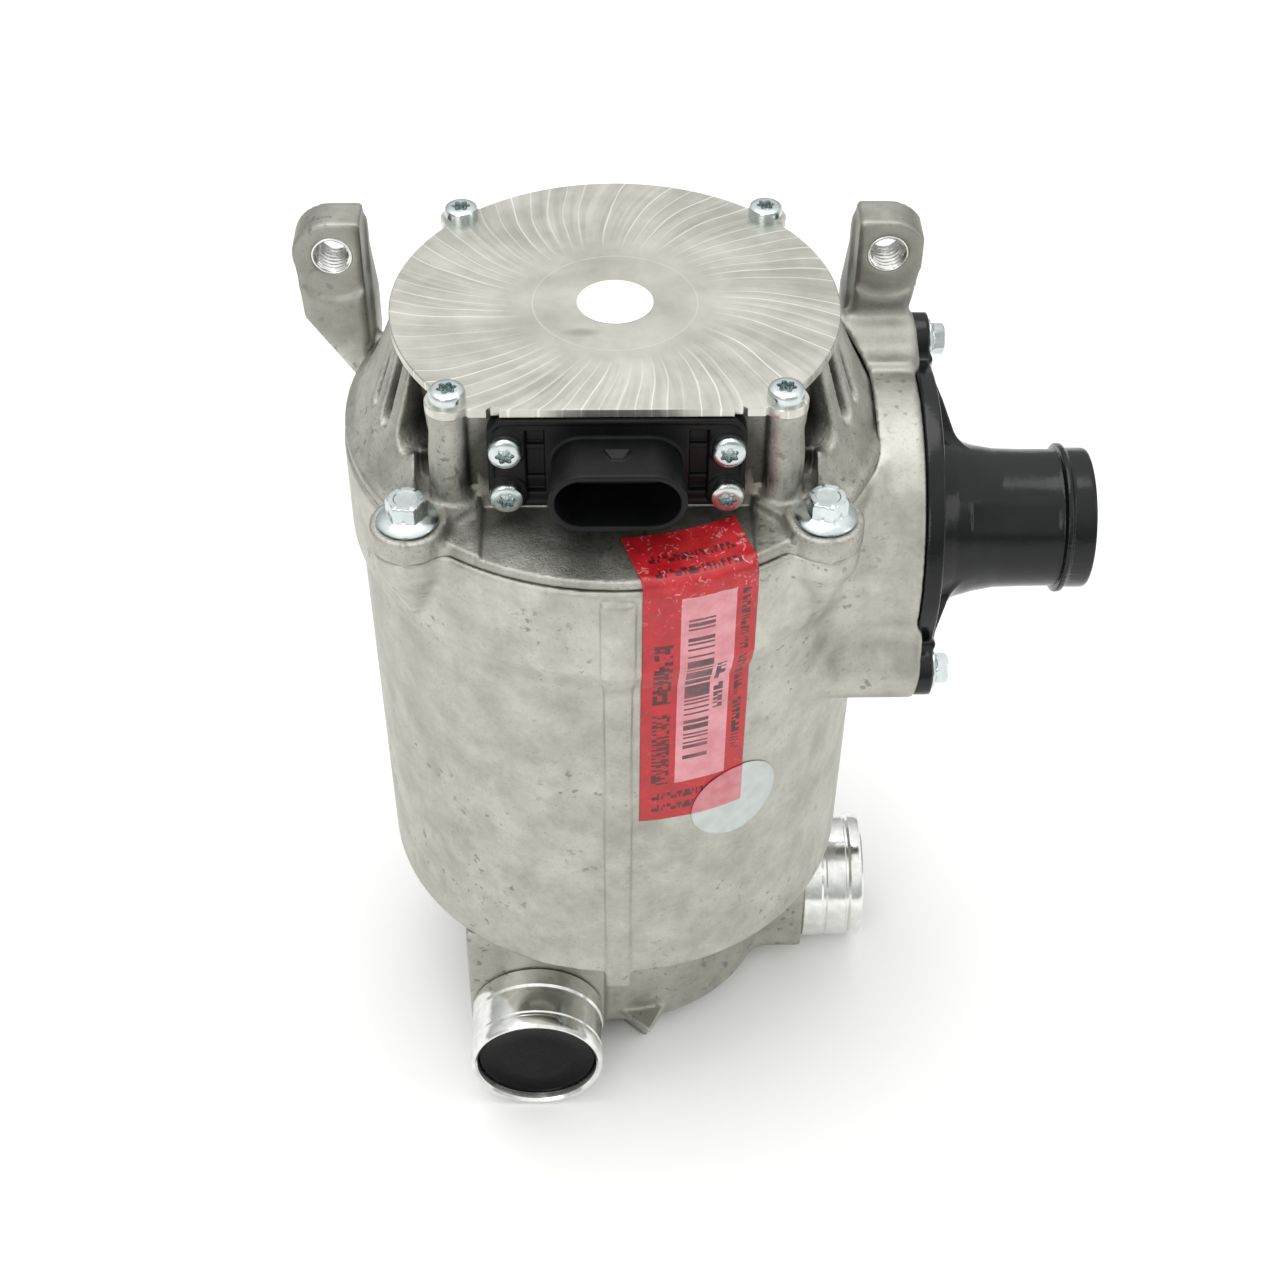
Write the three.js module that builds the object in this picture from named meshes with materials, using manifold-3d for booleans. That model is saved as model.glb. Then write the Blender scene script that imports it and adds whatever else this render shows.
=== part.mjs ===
// An electrically driven centrifugal supercharger, millimetres, +Z up.
// The rotor's axis is the Z axis and z = 0 is the plane that the machine stands on. The electrical
// connector faces -Y and the intake hose spigot faces +X.
import * as THREE from "three";
import { mergeVertices } from "three/addons/utils/BufferGeometryUtils.js";
import Module from "manifold-3d";

// ---------- driving dimensions ----------

// Heights of the stack, from the standing plane up.
const voluteFloorHeight = 6;
const voluteTop = 53;
const motorHousingLength = 142.5;
const headLength = 31;
const lidThickness = 2.5;

// Motor housing. Its rim is a step wider than its body, and the casting's floor carries a bearing.
const motorHousingRadius = 64.2;
const rimStep = 3.2;
const rimLength = 26;
const rimRamp = 6;
const rimRampStart = 1.3;
const motorHousingWall = 5;
const motorFloorRise = 9;
const motorFloorThickness = 8;
const floorWindowCount = 4;
const frontRibWidth = 7;
const frontRibHeight = 1.4;
const frontRibDrop = 4.5;
const statorRibCount = 6;
const statorRibWidth = 8;
const statorRibHeight = 7.2;

// Side plenum and its intake spigot. Drops are measured down from the parting plane.
const plenumDrop = 30.2;
const plenumRadius = 38.3;
const plenumStandOff = 7.8;
const plenumWall = 5;
const intakeAxisDrop = 34.5;
const intakeFlangeThickness = 4.6;
const intakeNeckRadius = 18;
const intakeBeadHeight = 1.5;
const intakeWall = 2.6;
const intakeLength = 47.3;
const intakeLugStandOff = 4.7;
const intakeScrewAngles = [57, 215, 318];
const intakeLugRadius = 7.2;

// Ears, each with a hole along Y. Rises are measured up from the parting plane.
const earStandOff = 1.6;
const earCentre = -0.9;
const earHoleRise = 31;
const earHoleRadius = 4.5;
const earFrontFace = 24;
const earThickness = 11;
const earTopMargin = 9;
const earOuterMargin = 10;
const earInnerMargin = 7.4;
const gussetLength = 16;
const gussetWidth = 4;

// Electronics head.
const headFlangeInset = 0.8;
const headFlangeThickness = 3.4;
const headTopRadius = 53;
const headWall = 4;
const headFloorThickness = 3.6;
const frontWallPlane = 39.2;
const housingBoltStandOff = 1.05;
const housingBoltBossRadius = 9;
const housingBoltBossHeight = 6.5;
const lidScrewSpacing = 76.6;
const lidPostRadius = 4.7;
const pocketRise = 13.5;
const spigotDepth = 6;
const spigotWall = 5;

// Lid.
const lidOverhang = 1;
const lidFrontOverhang = 3.2;
const lidLobe = 0.6;
const lidNotchPlace = 28;
const lidNotchWidth = 2.4;

// Connector.
const connectorRise = 18.5;
const connectorWidth = 59;
const connectorFlangeHeight = 24.6;
const connectorFlangeThickness = 3.8;
const connectorGasketThickness = 0.5;
const connectorScrewInsetX = 4;
const connectorScrewInsetZ = 5.85;
const connectorScrewDrop = 1.9;
const socketWidth = 31.6;
const socketHeight = 16.2;
const socketWall = 1.6;
const socketReach = 18.8;
const pinCount = 4;
const pinSpacing = 5.6;
const pinRadius = 0.85;

// Rotor, bearings and stator.
const shaftRadius = 5;
const shaftStep = 1;
const rotorShoulderHeight = 4;
const bearingOuterRadius = 13;
const bearingWidth = 8;
const raceThickness = 2.4;
const trackDepth = 0.78;
const ballCount = 7;
const bearingHubWall = 5;
const upperBearingDrop = 15.5;
const lowerBearingRise = 10;
const statorHeight = 66;
const statorRise = 24;
const statorBore = 25;
const statorTeeth = 6;
const statorYoke = 8;
const toothWidth = 12;
const shoeDepth = 3.2;
const coilThickness = 5.4;
const airGap = 1;

// Impeller, volute and outlets.
const voluteRadius = 45.5;
const voluteWall = 5;
const voluteFloorThickness = 3;
const voluteFlangeRim = 6.2;
const voluteFlangeThickness = 5;
const voluteBoltInset = 6.5;
const voluteBoltAngles = [30, 150, 270];
const footAngles = [-80, 40, 160];
const impellerRadius = 33;
const impellerHeight = 24;
const impellerDrop = 4;
const bladeCount = 7;
const bladeThickness = 1.5;
const eyeRadius = 17;
const inletPlateThickness = 3.7;
const outletBoreRadius = 16.6;
const outletWall = 2.2;
const outletFloorGap = 0.2;
const frontOutletX = -23;
const frontOutletStandOff = 4.5;
const frontOutletLength = 20;
const sideOutletStandOff = 10.5;
const sideOutletLength = 18;
const spigotInsert = 7;
const spigotInsertWall = 1.1;
const plugThickness = 6;
const plugRecess = 2.5;

// Shank radii of the fasteners.
const m4 = 2;
const m5 = 2.5;
const m6 = 3;

// Clearances.
const touching = 0.3;
const snug = 0.05;
const pressed = 0.02;
const holeClearance = 0.2;
const boltClearance = 0.5;
const runningClearance = 0.09;
const ballClearance = 0.25;

// Longer than any piece, for cuts that run right through.
const beyond = 400;

// ---------- sizes that follow ----------

const partingHeight = voluteTop + motorHousingLength;
const lidSeat = partingHeight + headLength;
const lidTop = lidSeat + lidThickness;
const boltSeat = partingHeight + housingBoltBossHeight;
const motorHousingRimRadius = motorHousingRadius + rimStep;
const motorBoreRadius = motorHousingRadius - motorHousingWall;
const motorFloorBottom = voluteTop + motorFloorRise;
const motorFloorTop = motorFloorBottom + motorFloorThickness;
const plenumHeight = partingHeight - plenumDrop;
const plenumReach = motorHousingRimRadius + plenumStandOff;
const intakeReach = plenumReach + intakeLength;
const intakeScrewCircle = plenumRadius + intakeLugStandOff;
const earHoleHalf = motorHousingRimRadius + earStandOff;
const earHoleHeight = partingHeight + earHoleRise;
const headFlangeRadius = motorHousingRimRadius - headFlangeInset;
const lidPostHalf = lidScrewSpacing / 2;
const housingBoltHalf = (motorHousingRimRadius + housingBoltStandOff) / Math.SQRT2;
const slotBottomHeight = partingHeight + pocketRise;
const connectorHeight = partingHeight + connectorRise;
const statorRadius = motorBoreRadius - statorRibHeight;
const bearingHubRadius = bearingOuterRadius + bearingHubWall;
const upperBearingHeight = partingHeight - upperBearingDrop;
const lowerBearingHeight = motorFloorBottom + lowerBearingRise;
const statorBottom = lowerBearingHeight + statorRise;
const statorTop = statorBottom + statorHeight;
const innerRace = { inner: shaftRadius, outer: shaftRadius + raceThickness };
const outerRace = { inner: bearingOuterRadius - raceThickness, outer: bearingOuterRadius };
const pitchRadius = (innerRace.outer + outerRace.inner) / 2;
const ballRadius = (outerRace.inner - innerRace.outer) / 2 + trackDepth;
const impellerTop = voluteTop - impellerDrop;
const impellerBottom = impellerTop - impellerHeight;
const voluteFlangeRadius = motorHousingRadius - voluteFlangeRim;
const voluteBoltCircle = voluteFlangeRadius - voluteBoltInset;
const outletLipRadius = outletBoreRadius + outletWall;
const outletAxisHeight = outletLipRadius + outletFloorGap;
const frontOutletFace = voluteRadius + frontOutletStandOff;
const sideOutletFace = voluteRadius + sideOutletStandOff;

// ---------- solids ----------

const wasm = await Module();
wasm.setup();

const degrees = (angle) => (angle * Math.PI) / 180;

// A three.js geometry as a closed manifold solid, with the slivers at a lathe's poles left out.
function solid(geometry) {
  const bare = geometry.clone();
  bare.deleteAttribute("normal");
  bare.deleteAttribute("uv");
  const merged = mergeVertices(bare, 1e-4);
  const faces = [];
  const corner = merged.index.array;
  for (let i = 0; i < corner.length; i += 3) {
    const [a, b, c] = [corner[i], corner[i + 1], corner[i + 2]];
    if (a !== b && b !== c && c !== a) faces.push(a, b, c);
  }
  const make = (triVerts) =>
    new wasm.Manifold(
      new wasm.Mesh({
        numProp: 3,
        vertProperties: new Float32Array(merged.attributes.position.array),
        triVerts: new Uint32Array(triVerts),
      }),
    );
  const made = make(faces);
  return made.volume() < 0 ? make(faces.reverse()) : made;
}

const union = (solids) => solids.reduce((all, next) => all.add(next));

// How many facets a round of this radius has. Rounds that fit together share one count.
const matedFacets = 20;
const facets = (radius) => (radius > 20.5 ? 28 : radius > 6 ? matedFacets : 10);

// Turned about Z from [radius, z] points.
function turned(profile, segments = facets(Math.max(...profile.map(([radius]) => radius)))) {
  const points = profile.map(([r, z]) => new THREE.Vector2(r, z));
  return solid(new THREE.LatheGeometry(points, segments).rotateX(Math.PI / 2));
}

const disc = (radius, low, high, segments = facets(radius)) =>
  turned([[0, low], [radius, low], [radius, high], [0, high]], segments);

const ring = (inner, outer, low, high, segments = facets(outer)) =>
  turned([[inner, low], [outer, low], [outer, high], [inner, high], [inner, low]], segments);

function box(x0, x1, y0, y1, z0, z1) {
  const shape = new THREE.BoxGeometry(x1 - x0, y1 - y0, z1 - z0);
  return solid(shape.translate((x0 + x1) / 2, (y0 + y1) / 2, (z0 + z1) / 2));
}

// An outline in X and Y, extruded from low to high. It is a THREE.Shape or a list of [x, y] points.
function prism(outline, low, high, curveSegments = 12) {
  const points = Array.isArray(outline) && outline.map(([x, y]) => new THREE.Vector2(x, y));
  const shape = points ? new THREE.Shape(points) : outline;
  const options = { depth: high - low, bevelEnabled: false, curveSegments };
  return solid(new THREE.ExtrudeGeometry(shape, options).translate(0, 0, low));
}

// Turns a solid made along +Z so that +Z becomes -Y, and up (+Y) becomes +Z.
const towardsFront = (made) => made.rotate([90, 0, 0]);

// Turns a solid made along +Z so that +Z becomes +X, and +Y stays.
const towardsSide = (made) => made.rotate([0, 90, 0]);

const at = (made, x, y, z = 0) => made.translate([x, y, z]);

// An outline of [y, z] points, extruded along X.
const sidePrism = (outline, from, to) =>
  prism(outline.map(([y, z]) => [-z, y]), from, to).rotate([0, 90, 0]);

// The solid at each of the angles about the Z axis, in degrees.
const atAngles = (made, angles) => angles.map((angle) => made.rotate([0, 0, angle]));

// That many equal steps round a circle, in degrees.
const evenly = (count, start = 0) => Array.from({ length: count }, (_, i) => start + (360 / count) * i);

// The four corners of a square pattern, anticlockwise from the front left one.
const corners = (half) => [[-half, -half], [half, -half], [half, half], [-half, half]];

// A circle cut off by a flat front, the outline that the head, its gasket and its lid share.
function headOutline(radius, front) {
  const half = Math.asin(front / radius);
  const shape = new THREE.Shape();
  shape.absarc(0, 0, radius, -half, Math.PI + half, false);
  shape.closePath();
  return shape;
}

// A stadium, longer along X.
function stadium(width, height) {
  const r = height / 2;
  const shape = new THREE.Shape();
  shape.absarc(width / 2 - r, 0, r, -Math.PI / 2, Math.PI / 2, false);
  shape.absarc(-width / 2 + r, 0, r, Math.PI / 2, (3 * Math.PI) / 2, false);
  shape.closePath();
  return shape;
}

function roundedRectangle(width, height, corner) {
  const [x, y] = [width / 2 - corner, height / 2 - corner];
  const shape = new THREE.Shape();
  shape.absarc(x, -y, corner, -Math.PI / 2, 0, false);
  shape.absarc(x, y, corner, 0, Math.PI / 2, false);
  shape.absarc(-x, y, corner, Math.PI / 2, Math.PI, false);
  shape.absarc(-x, -y, corner, Math.PI, (3 * Math.PI) / 2, false);
  shape.closePath();
  return shape;
}

// ---------- finishes and the assembly ----------

const finish = (color, roughness, metalness) => ({ color, roughness, metalness });
const castAluminium = finish(0xb9b8b2, 0.55, 0.85);
const machinedAluminium = finish(0xd6d6d2, 0.28, 0.95);
const zincPlate = finish(0xc3c8cb, 0.3, 0.9);
const blackPlastic = finish(0x101113, 0.3, 0);
const darkPlastic = finish(0x1d1e20, 0.5, 0);
const rubber = finish(0x151515, 0.8, 0);
const bearingSteel = finish(0x9a9da0, 0.25, 0.95);
const siliconSteel = finish(0x6d7072, 0.45, 0.8);
const copper = finish(0xa4552a, 0.4, 0.7);
const boardGreen = finish(0x1f5a35, 0.5, 0);
const capacitorBlue = finish(0x2a3a58, 0.4, 0);

const group = new THREE.Group();

function place(name, made, { color, roughness, metalness }) {
  const { vertProperties, triVerts } = made.getMesh();
  const geometry = new THREE.BufferGeometry();
  geometry.setAttribute("position", new THREE.BufferAttribute(vertProperties, 3));
  geometry.setIndex(new THREE.BufferAttribute(triVerts, 1));
  geometry.computeVertexNormals();
  const material = new THREE.MeshStandardMaterial({ color, roughness, metalness });
  const mesh = new THREE.Mesh(geometry, material);
  mesh.name = name;
  group.add(mesh);
}

// ---------- fasteners ----------

// A pan-head screw with a socket, standing on z = 0 with its shank down.
function panScrew(shank, headRadius, headHeight, length) {
  const head = turned([
    [0, 0], [headRadius, 0], [headRadius, headHeight * 0.6],
    [headRadius * 0.86, headHeight * 0.9], [headRadius * 0.6, headHeight], [0, headHeight],
  ]);
  const socket = disc(headRadius * 0.42, headHeight * 0.45, headHeight + 1, 6);
  return head.add(disc(shank, -length, 0.1)).subtract(socket);
}

// A hexagon head on a round flange, standing on z = 0 with its shank down.
function flangeBolt(shank, flangeRadius, acrossFlats, headHeight, length) {
  const flangeHeight = 1.4;
  const flange = turned([
    [0, 0], [flangeRadius, 0], [flangeRadius, flangeHeight * 0.6],
    [acrossFlats * 0.56, flangeHeight * 1.5], [0, flangeHeight * 1.5],
  ], 14);
  const hexagon = disc(acrossFlats / Math.sqrt(3), 0.2, headHeight, 6).rotate([0, 0, 15]);
  return union([flange, hexagon, disc(shank, -length, 0.1)]);
}

const lidScrew = { shank: m4, head: 4.25, height: 3.1, length: 11 };
const connectorScrew = { shank: m4, head: 4, height: 2.7, length: 9 };
const intakeScrew = { shank: m4, flange: 5.2, flats: 7, height: 4.4, length: 12 };
const housingBolt = { shank: m6, flange: 7.35, flats: 8.6, height: 6.4, length: 22 };
const voluteBolt = { shank: m5, flange: 5.8, flats: 8, height: 4.6, length: 12 };

const tapped = (bolt, depth) => disc(bolt.shank + holeClearance, -depth, 1);

// ---------- electronics head ----------

// The head's side from the flange up to the lid, as radius at a height.
const headShoulder = partingHeight + headFlangeThickness;
const headRadiusAt = (z) => {
  const up = (z - headShoulder) / (lidSeat - headShoulder);
  return headFlangeRadius - 0.8 - (headFlangeRadius - 0.8 - headTopRadius) * Math.pow(up, 0.8);
};

function headSide(offset) {
  const steps = 4;
  const profile = [[0, partingHeight], [headFlangeRadius + offset, partingHeight]];
  profile.push([headFlangeRadius + offset, headShoulder]);
  for (let i = 1; i <= steps; i += 1) {
    const z = headShoulder + ((lidSeat - headShoulder) * i) / steps;
    profile.push([headRadiusAt(z) + offset, z]);
  }
  profile.push([0, lidSeat]);
  return turned(profile);
}

const cavityRadius = headTopRadius - headWall - 0.8;
const cavityFront = frontWallPlane - headWall;
const headFloorTop = headShoulder + 0.4;
const headFloorBottom = headFloorTop - headFloorThickness;
const gasketWidth = 1.4;
const gasketHeight = 1;
const gasketInner = { radius: cavityRadius + 1.2, front: cavityFront + 1.1 };

// A pocket between two fins: a round-ended slot, sunk into the side at an angle about Z.
function finPocket(angle, width, floorRadius, lean) {
  const height = lidSeat + 1 - slotBottomHeight;
  const body = box(floorRadius, headFlangeRadius + 2, -width / 2, width / 2, width / 2, height);
  const round = towardsSide(disc(width / 2, floorRadius, headFlangeRadius + 2));
  const upright = body.add(at(round, 0, 0, width / 2)).rotate([lean, 0, 0]);
  return at(upright, 0, 0, slotBottomHeight).rotate([0, 0, angle]);
}

const pocketLean = 9;
const finPockets = [
  { angle: 32, width: 7, floor: headTopRadius - 3.5 },
  { angle: 22, width: 3.6, floor: headTopRadius },
  { angle: 14, width: 2.4, floor: headTopRadius + 3.5 },
];

// A flat raised shelf on the head's flange, mirrored to both sides.
const onBothSides = (outline) =>
  [-1, 1].map((side) => prism(outline.map(([x, y]) => [side * x, y]), headShoulder - 1, boltSeat));

function headShelves() {
  const bolt = housingBoltHalf;
  const post = lidPostHalf;
  const corner = connectorWidth / 2 + 2.5;
  const platforms = onBothSides([
    [bolt + 5.6, 8.4 - bolt], [bolt + 0.6, -bolt - 9.1], [corner, -frontWallPlane - 1.8],
    [corner, 1.2 - frontWallPlane], [bolt - 4.4, 5.2 - frontWallPlane],
  ]);
  const backRibs = onBothSides([
    [bolt + 1.6, bolt + 5.6], [bolt + 6.6, bolt - 2.4], [post + 2.7, post - 4.3], [post - 2.3, post + 1.7],
  ]);
  return [...platforms, ...backRibs];
}

// Fin pockets on both sides, and the deep relief beside each front post.
function headPockets() {
  const pockets = [];
  for (const side of [-1, 1]) {
    for (const { angle, width, floor } of finPockets) {
      const fromX = side < 0 ? 180 + angle : -angle;
      pockets.push(finPocket(fromX, width, floor, -side * pocketLean));
    }
    const [near, far] = [lidPostHalf + 5.3, lidPostHalf + 9.1];
    const [front, back] = [-headFlangeRadius, 8.3 - lidPostHalf];
    const relief = [[near, front], [far, front], [far - 1, back], [near, back]];
    pockets.push(prism(relief.map(([x, y]) => [side * x, y]), boltSeat, lidSeat + 1));
  }
  return pockets;
}

function electronicsHousing() {
  const frontCut = box(-beyond, beyond, -beyond, -frontWallPlane, headShoulder, lidSeat + 1);
  const posts = corners(lidPostHalf).map(([x, y]) =>
    at(disc(lidPostRadius, headShoulder - 1, lidSeat), x, y));
  const bosses = corners(housingBoltHalf).map(([x, y]) =>
    at(disc(housingBoltBossRadius, partingHeight, boltSeat), x, y));
  let made = union([headSide(0).subtract(frontCut), ...posts, ...bosses, ...headShelves()]);
  made = made.subtract(union(headPockets()));

  // The cavity for the electronics, the window for the connector, and the groove for the gasket.
  const cavity = prism(headOutline(cavityRadius, cavityFront), headFloorTop, lidSeat + 1, 18);
  const backPosts = union(posts.slice(2).map((post) => post.subtract(disc(cavityRadius - 3, 0, beyond))));
  made = made.subtract(cavity.subtract(backPosts));
  const window = prism(stadium(socketWidth - 4, socketHeight - 3), cavityFront - 1, frontWallPlane + 1);
  made = made.subtract(at(towardsFront(window), 0, 0, connectorHeight));
  made = made.subtract(gasketRing(holeClearance, lidSeat + 1));

  // The spigot that locates the head in the motor housing, and the hub for the upper bearing.
  const spigotRadius = motorBoreRadius - holeClearance;
  const spigotInner = spigotRadius - spigotWall;
  const spigotBottom = partingHeight - spigotDepth;
  made = made.add(ring(spigotInner, spigotRadius, spigotBottom, partingHeight + 0.1));
  made = made.subtract(oRingGroove());
  made = made.subtract(disc(spigotInner, spigotBottom - 1, headFloorBottom));
  const hubBottom = upperBearingHeight - 3;
  const bearingSeat = bearingOuterRadius + pressed;
  made = made.add(ring(bearingSeat, bearingHubRadius, hubBottom, headFloorBottom + 0.1, matedFacets));

  // Threaded holes for the lid, clearance holes for the housing bolts, tapped holes for the connector.
  for (const [x, y] of corners(lidPostHalf))
    made = made.subtract(at(tapped(lidScrew, 14), x, y, lidSeat));
  for (const [x, y] of corners(housingBoltHalf)) {
    made = made.subtract(at(disc(m6 + boltClearance, partingHeight - 1, boltSeat + 1), x, y));
    made = made.subtract(at(disc(housingBolt.flange + 0.9, boltSeat, lidSeat + 1), x, y));
  }
  const connectorHole = towardsFront(tapped(connectorScrew, headWall + 2));
  for (const [x, z] of connectorScrewPlaces)
    made = made.subtract(at(connectorHole, x, -frontWallPlane, z));
  return made;
}

// The gasket's section round the head, grown by a clearance on both sides, up to a height.
function gasketRing(clearance, high) {
  const { radius, front } = gasketInner;
  const width = gasketWidth + clearance;
  const low = lidSeat - gasketHeight - clearance;
  const outer = prism(headOutline(radius + width, front + width), low, high, 18);
  return outer.subtract(prism(headOutline(radius - clearance, front - clearance), low - 1, high + 1, 18));
}

const oRing = { radius: motorBoreRadius - 1.6, section: 1.2, height: partingHeight - spigotDepth / 2 };

function oRingGroove() {
  const half = oRing.section + touching;
  return ring(oRing.radius - half, motorBoreRadius + 2, oRing.height - half, oRing.height + half);
}

const connectorScrewPlaces = [-1, 1].flatMap((sideX) => [-1, 1].map((sideZ) => [
  sideX * (connectorWidth / 2 - connectorScrewInsetX),
  connectorHeight - connectorScrewDrop + sideZ * (connectorFlangeHeight / 2 - connectorScrewInsetZ),
]));

place("electronics_housing", electronicsHousing(), castAluminium);
place("lid_gasket", gasketRing(0, lidSeat - 0.03), rubber);

function electronicsLid() {
  const lidFront = frontWallPlane + lidFrontOverhang;
  let made = prism(headOutline(headTopRadius + lidOverhang, lidFront), lidSeat, lidTop, 28);
  for (const [x, y] of corners(lidPostHalf))
    made = made.add(at(disc(lidPostRadius + lidLobe, lidSeat, lidTop), x, y));
  for (const side of [-1, 1]) {
    const [from, to] = [lidNotchPlace - lidNotchWidth / 2, lidNotchPlace + lidNotchWidth / 2];
    const notch = box(from, to, -lidFront - 1, 1 - lidFront, lidSeat - 1, lidTop + 1);
    made = made.subtract(side < 0 ? notch.mirror([1, 0, 0]) : notch);
  }
  const lipWidth = 2;
  const lipOuter = headOutline(cavityRadius - touching, cavityFront - touching);
  const lipInner = headOutline(cavityRadius - touching - lipWidth, cavityFront - touching - lipWidth);
  const lipBottom = lidSeat - 2;
  const lip = prism(lipOuter, lipBottom, lidSeat + 0.1, 18)
    .subtract(prism(lipInner, lipBottom - 1, lidSeat, 18));
  const clearOfPosts = corners(lidPostHalf).map(([x, y]) =>
    at(disc(lidPostRadius + 2 * touching, lipBottom - 1, lidSeat), x, y));
  made = made.add(lip.subtract(union(clearOfPosts)));
  for (const [x, y] of corners(lidPostHalf))
    made = made.subtract(at(disc(lidScrew.shank + holeClearance, lipBottom - 1, lidTop + 1), x, y));
  return made;
}

place("electronics_lid", electronicsLid(), machinedAluminium);

const screwForLid = panScrew(lidScrew.shank, lidScrew.head, lidScrew.height, lidScrew.length);
corners(lidPostHalf).forEach(([x, y], i) =>
  place(`lid_screw_${i + 1}`, at(screwForLid, x, y, lidTop), zincPlate));

const boltForHousing = flangeBolt(
  housingBolt.shank, housingBolt.flange, housingBolt.flats, housingBolt.height, housingBolt.length,
);
corners(housingBoltHalf).forEach(([x, y], i) =>
  place(`housing_bolt_${i + 1}`, at(boltForHousing, x, y, boltSeat), zincPlate));

place("housing_o_ring", turned([
  [oRing.radius, oRing.height - oRing.section], [oRing.radius + oRing.section, oRing.height],
  [oRing.radius, oRing.height + oRing.section], [oRing.radius - oRing.section, oRing.height],
  [oRing.radius, oRing.height - oRing.section],
]), rubber);

// ---------- connector ----------

const connectorBack = frontWallPlane + connectorGasketThickness;
const connectorFace = connectorBack + connectorFlangeThickness;
const socketFace = frontWallPlane + socketReach;
const connectorTilt = (made) => at(towardsFront(made), 0, 0, connectorHeight);

function connectorShell() {
  const outline = roundedRectangle(connectorWidth, connectorFlangeHeight, 4);
  const flange = prism(outline, connectorBack, connectorFace, 3);
  const socket = prism(stadium(socketWidth, socketHeight), connectorFace - 1, socketFace, 6);
  const baseOutline = stadium(socketWidth + 3.4, socketHeight + 3.4);
  const base = prism(baseOutline, connectorFace - 1, connectorFace + 2.4, 6);
  const plug = prism(stadium(socketWidth - 4.6, socketHeight - 3.6), cavityFront, connectorBack + 1, 6);
  const hollow = prism(
    stadium(socketWidth - 2 * socketWall, socketHeight - 2 * socketWall),
    connectorBack + 2.4, socketFace + 1, 6,
  );
  const ribs = [-18.4, 18.4].map((x) => box(x - 0.8, x + 0.8, -8, 8, connectorFace - 1, connectorFace + 2));
  const keyTop = socketHeight / 2 + 1;
  const key = box(-2.2, 2.2, keyTop - 1.4, keyTop, connectorFace, socketFace - 3);
  let made = union([flange, socket, base, plug, key, ...ribs]).subtract(hollow);
  for (const x of pinPlaces)
    made = made.subtract(at(disc(pinRadius + 0.15, 0, connectorBack + 3, 12), x, 0));
  made = connectorTilt(made);
  const hole = towardsFront(disc(m4 + holeClearance, connectorBack - 1, connectorFace + 3));
  for (const [x, z] of connectorScrewPlaces) made = made.subtract(at(hole, x, 0, z));
  return made;
}

const pinPlaces = Array.from({ length: pinCount }, (_, i) => (i - (pinCount - 1) / 2) * pinSpacing);

function connectorGasket() {
  const [low, high] = [frontWallPlane + 0.1, connectorBack - 0.1];
  const outer = prism(roundedRectangle(connectorWidth - 1, connectorFlangeHeight - 1, 4), low, high, 3);
  const inner = prism(stadium(socketWidth - 3.4, socketHeight - 2.4), low - 1, high + 1, 6);
  let made = connectorTilt(outer.subtract(inner));
  const hole = towardsFront(disc(m4 + holeClearance, low - 1, high + 1));
  for (const [x, z] of connectorScrewPlaces) made = made.subtract(at(hole, x, 0, z));
  return made;
}

place("connector_shell", connectorShell(), darkPlastic);
place("connector_gasket", connectorGasket(), rubber);

const screwForConnector = towardsFront(
  panScrew(connectorScrew.shank, connectorScrew.head, connectorScrew.height, connectorScrew.length),
);
connectorScrewPlaces.forEach(([x, z], i) =>
  place(`connector_screw_${i + 1}`, at(screwForConnector, x, -connectorFace, z), zincPlate));

pinPlaces.forEach((x, i) => {
  const pin = towardsFront(disc(pinRadius, cavityFront - 6, socketFace - 5, 12));
  place(`terminal_pin_${i + 1}`, at(pin, x, 0, connectorHeight), machinedAluminium);
});

// ---------- electronics ----------

const boardHeight = headFloorTop + 6;
const boardThickness = 1.6;
const boardOutline = headOutline(cavityRadius - 2, cavityFront - 8);
place("control_board", prism(boardOutline, boardHeight, boardHeight + boardThickness, 20), boardGreen);
place("power_module", box(-20, 20, -14, 12, headFloorTop + 0.1, boardHeight - touching), blackPlastic);
[-20, 20].forEach((x, i) => {
  const can = disc(7, boardHeight + boardThickness + touching, lidSeat - 3.5);
  place(`capacitor_${i + 1}`, at(can, x, 18), capacitorBlue);
});

// ---------- motor housing ----------

// A disc with a lug for each intake screw, made along +Z before it is turned towards +X.
function plenumOutline(radius, lugRadius, low, high) {
  const lugs = intakeScrewAngles.map((angle) => {
    const [y, z] = [Math.cos(degrees(angle)), Math.sin(degrees(angle))];
    return at(disc(lugRadius, low, high), -z * intakeScrewCircle, y * intakeScrewCircle);
  });
  return union([disc(radius, low, high), ...lugs]);
}

const onPlenum = (made) => at(towardsSide(made), 0, 0, plenumHeight);

const intakeScrewPlaces = intakeScrewAngles.map((angle) => [
  intakeScrewCircle * Math.cos(degrees(angle)),
  plenumHeight + intakeScrewCircle * Math.sin(degrees(angle)),
]);

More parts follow.
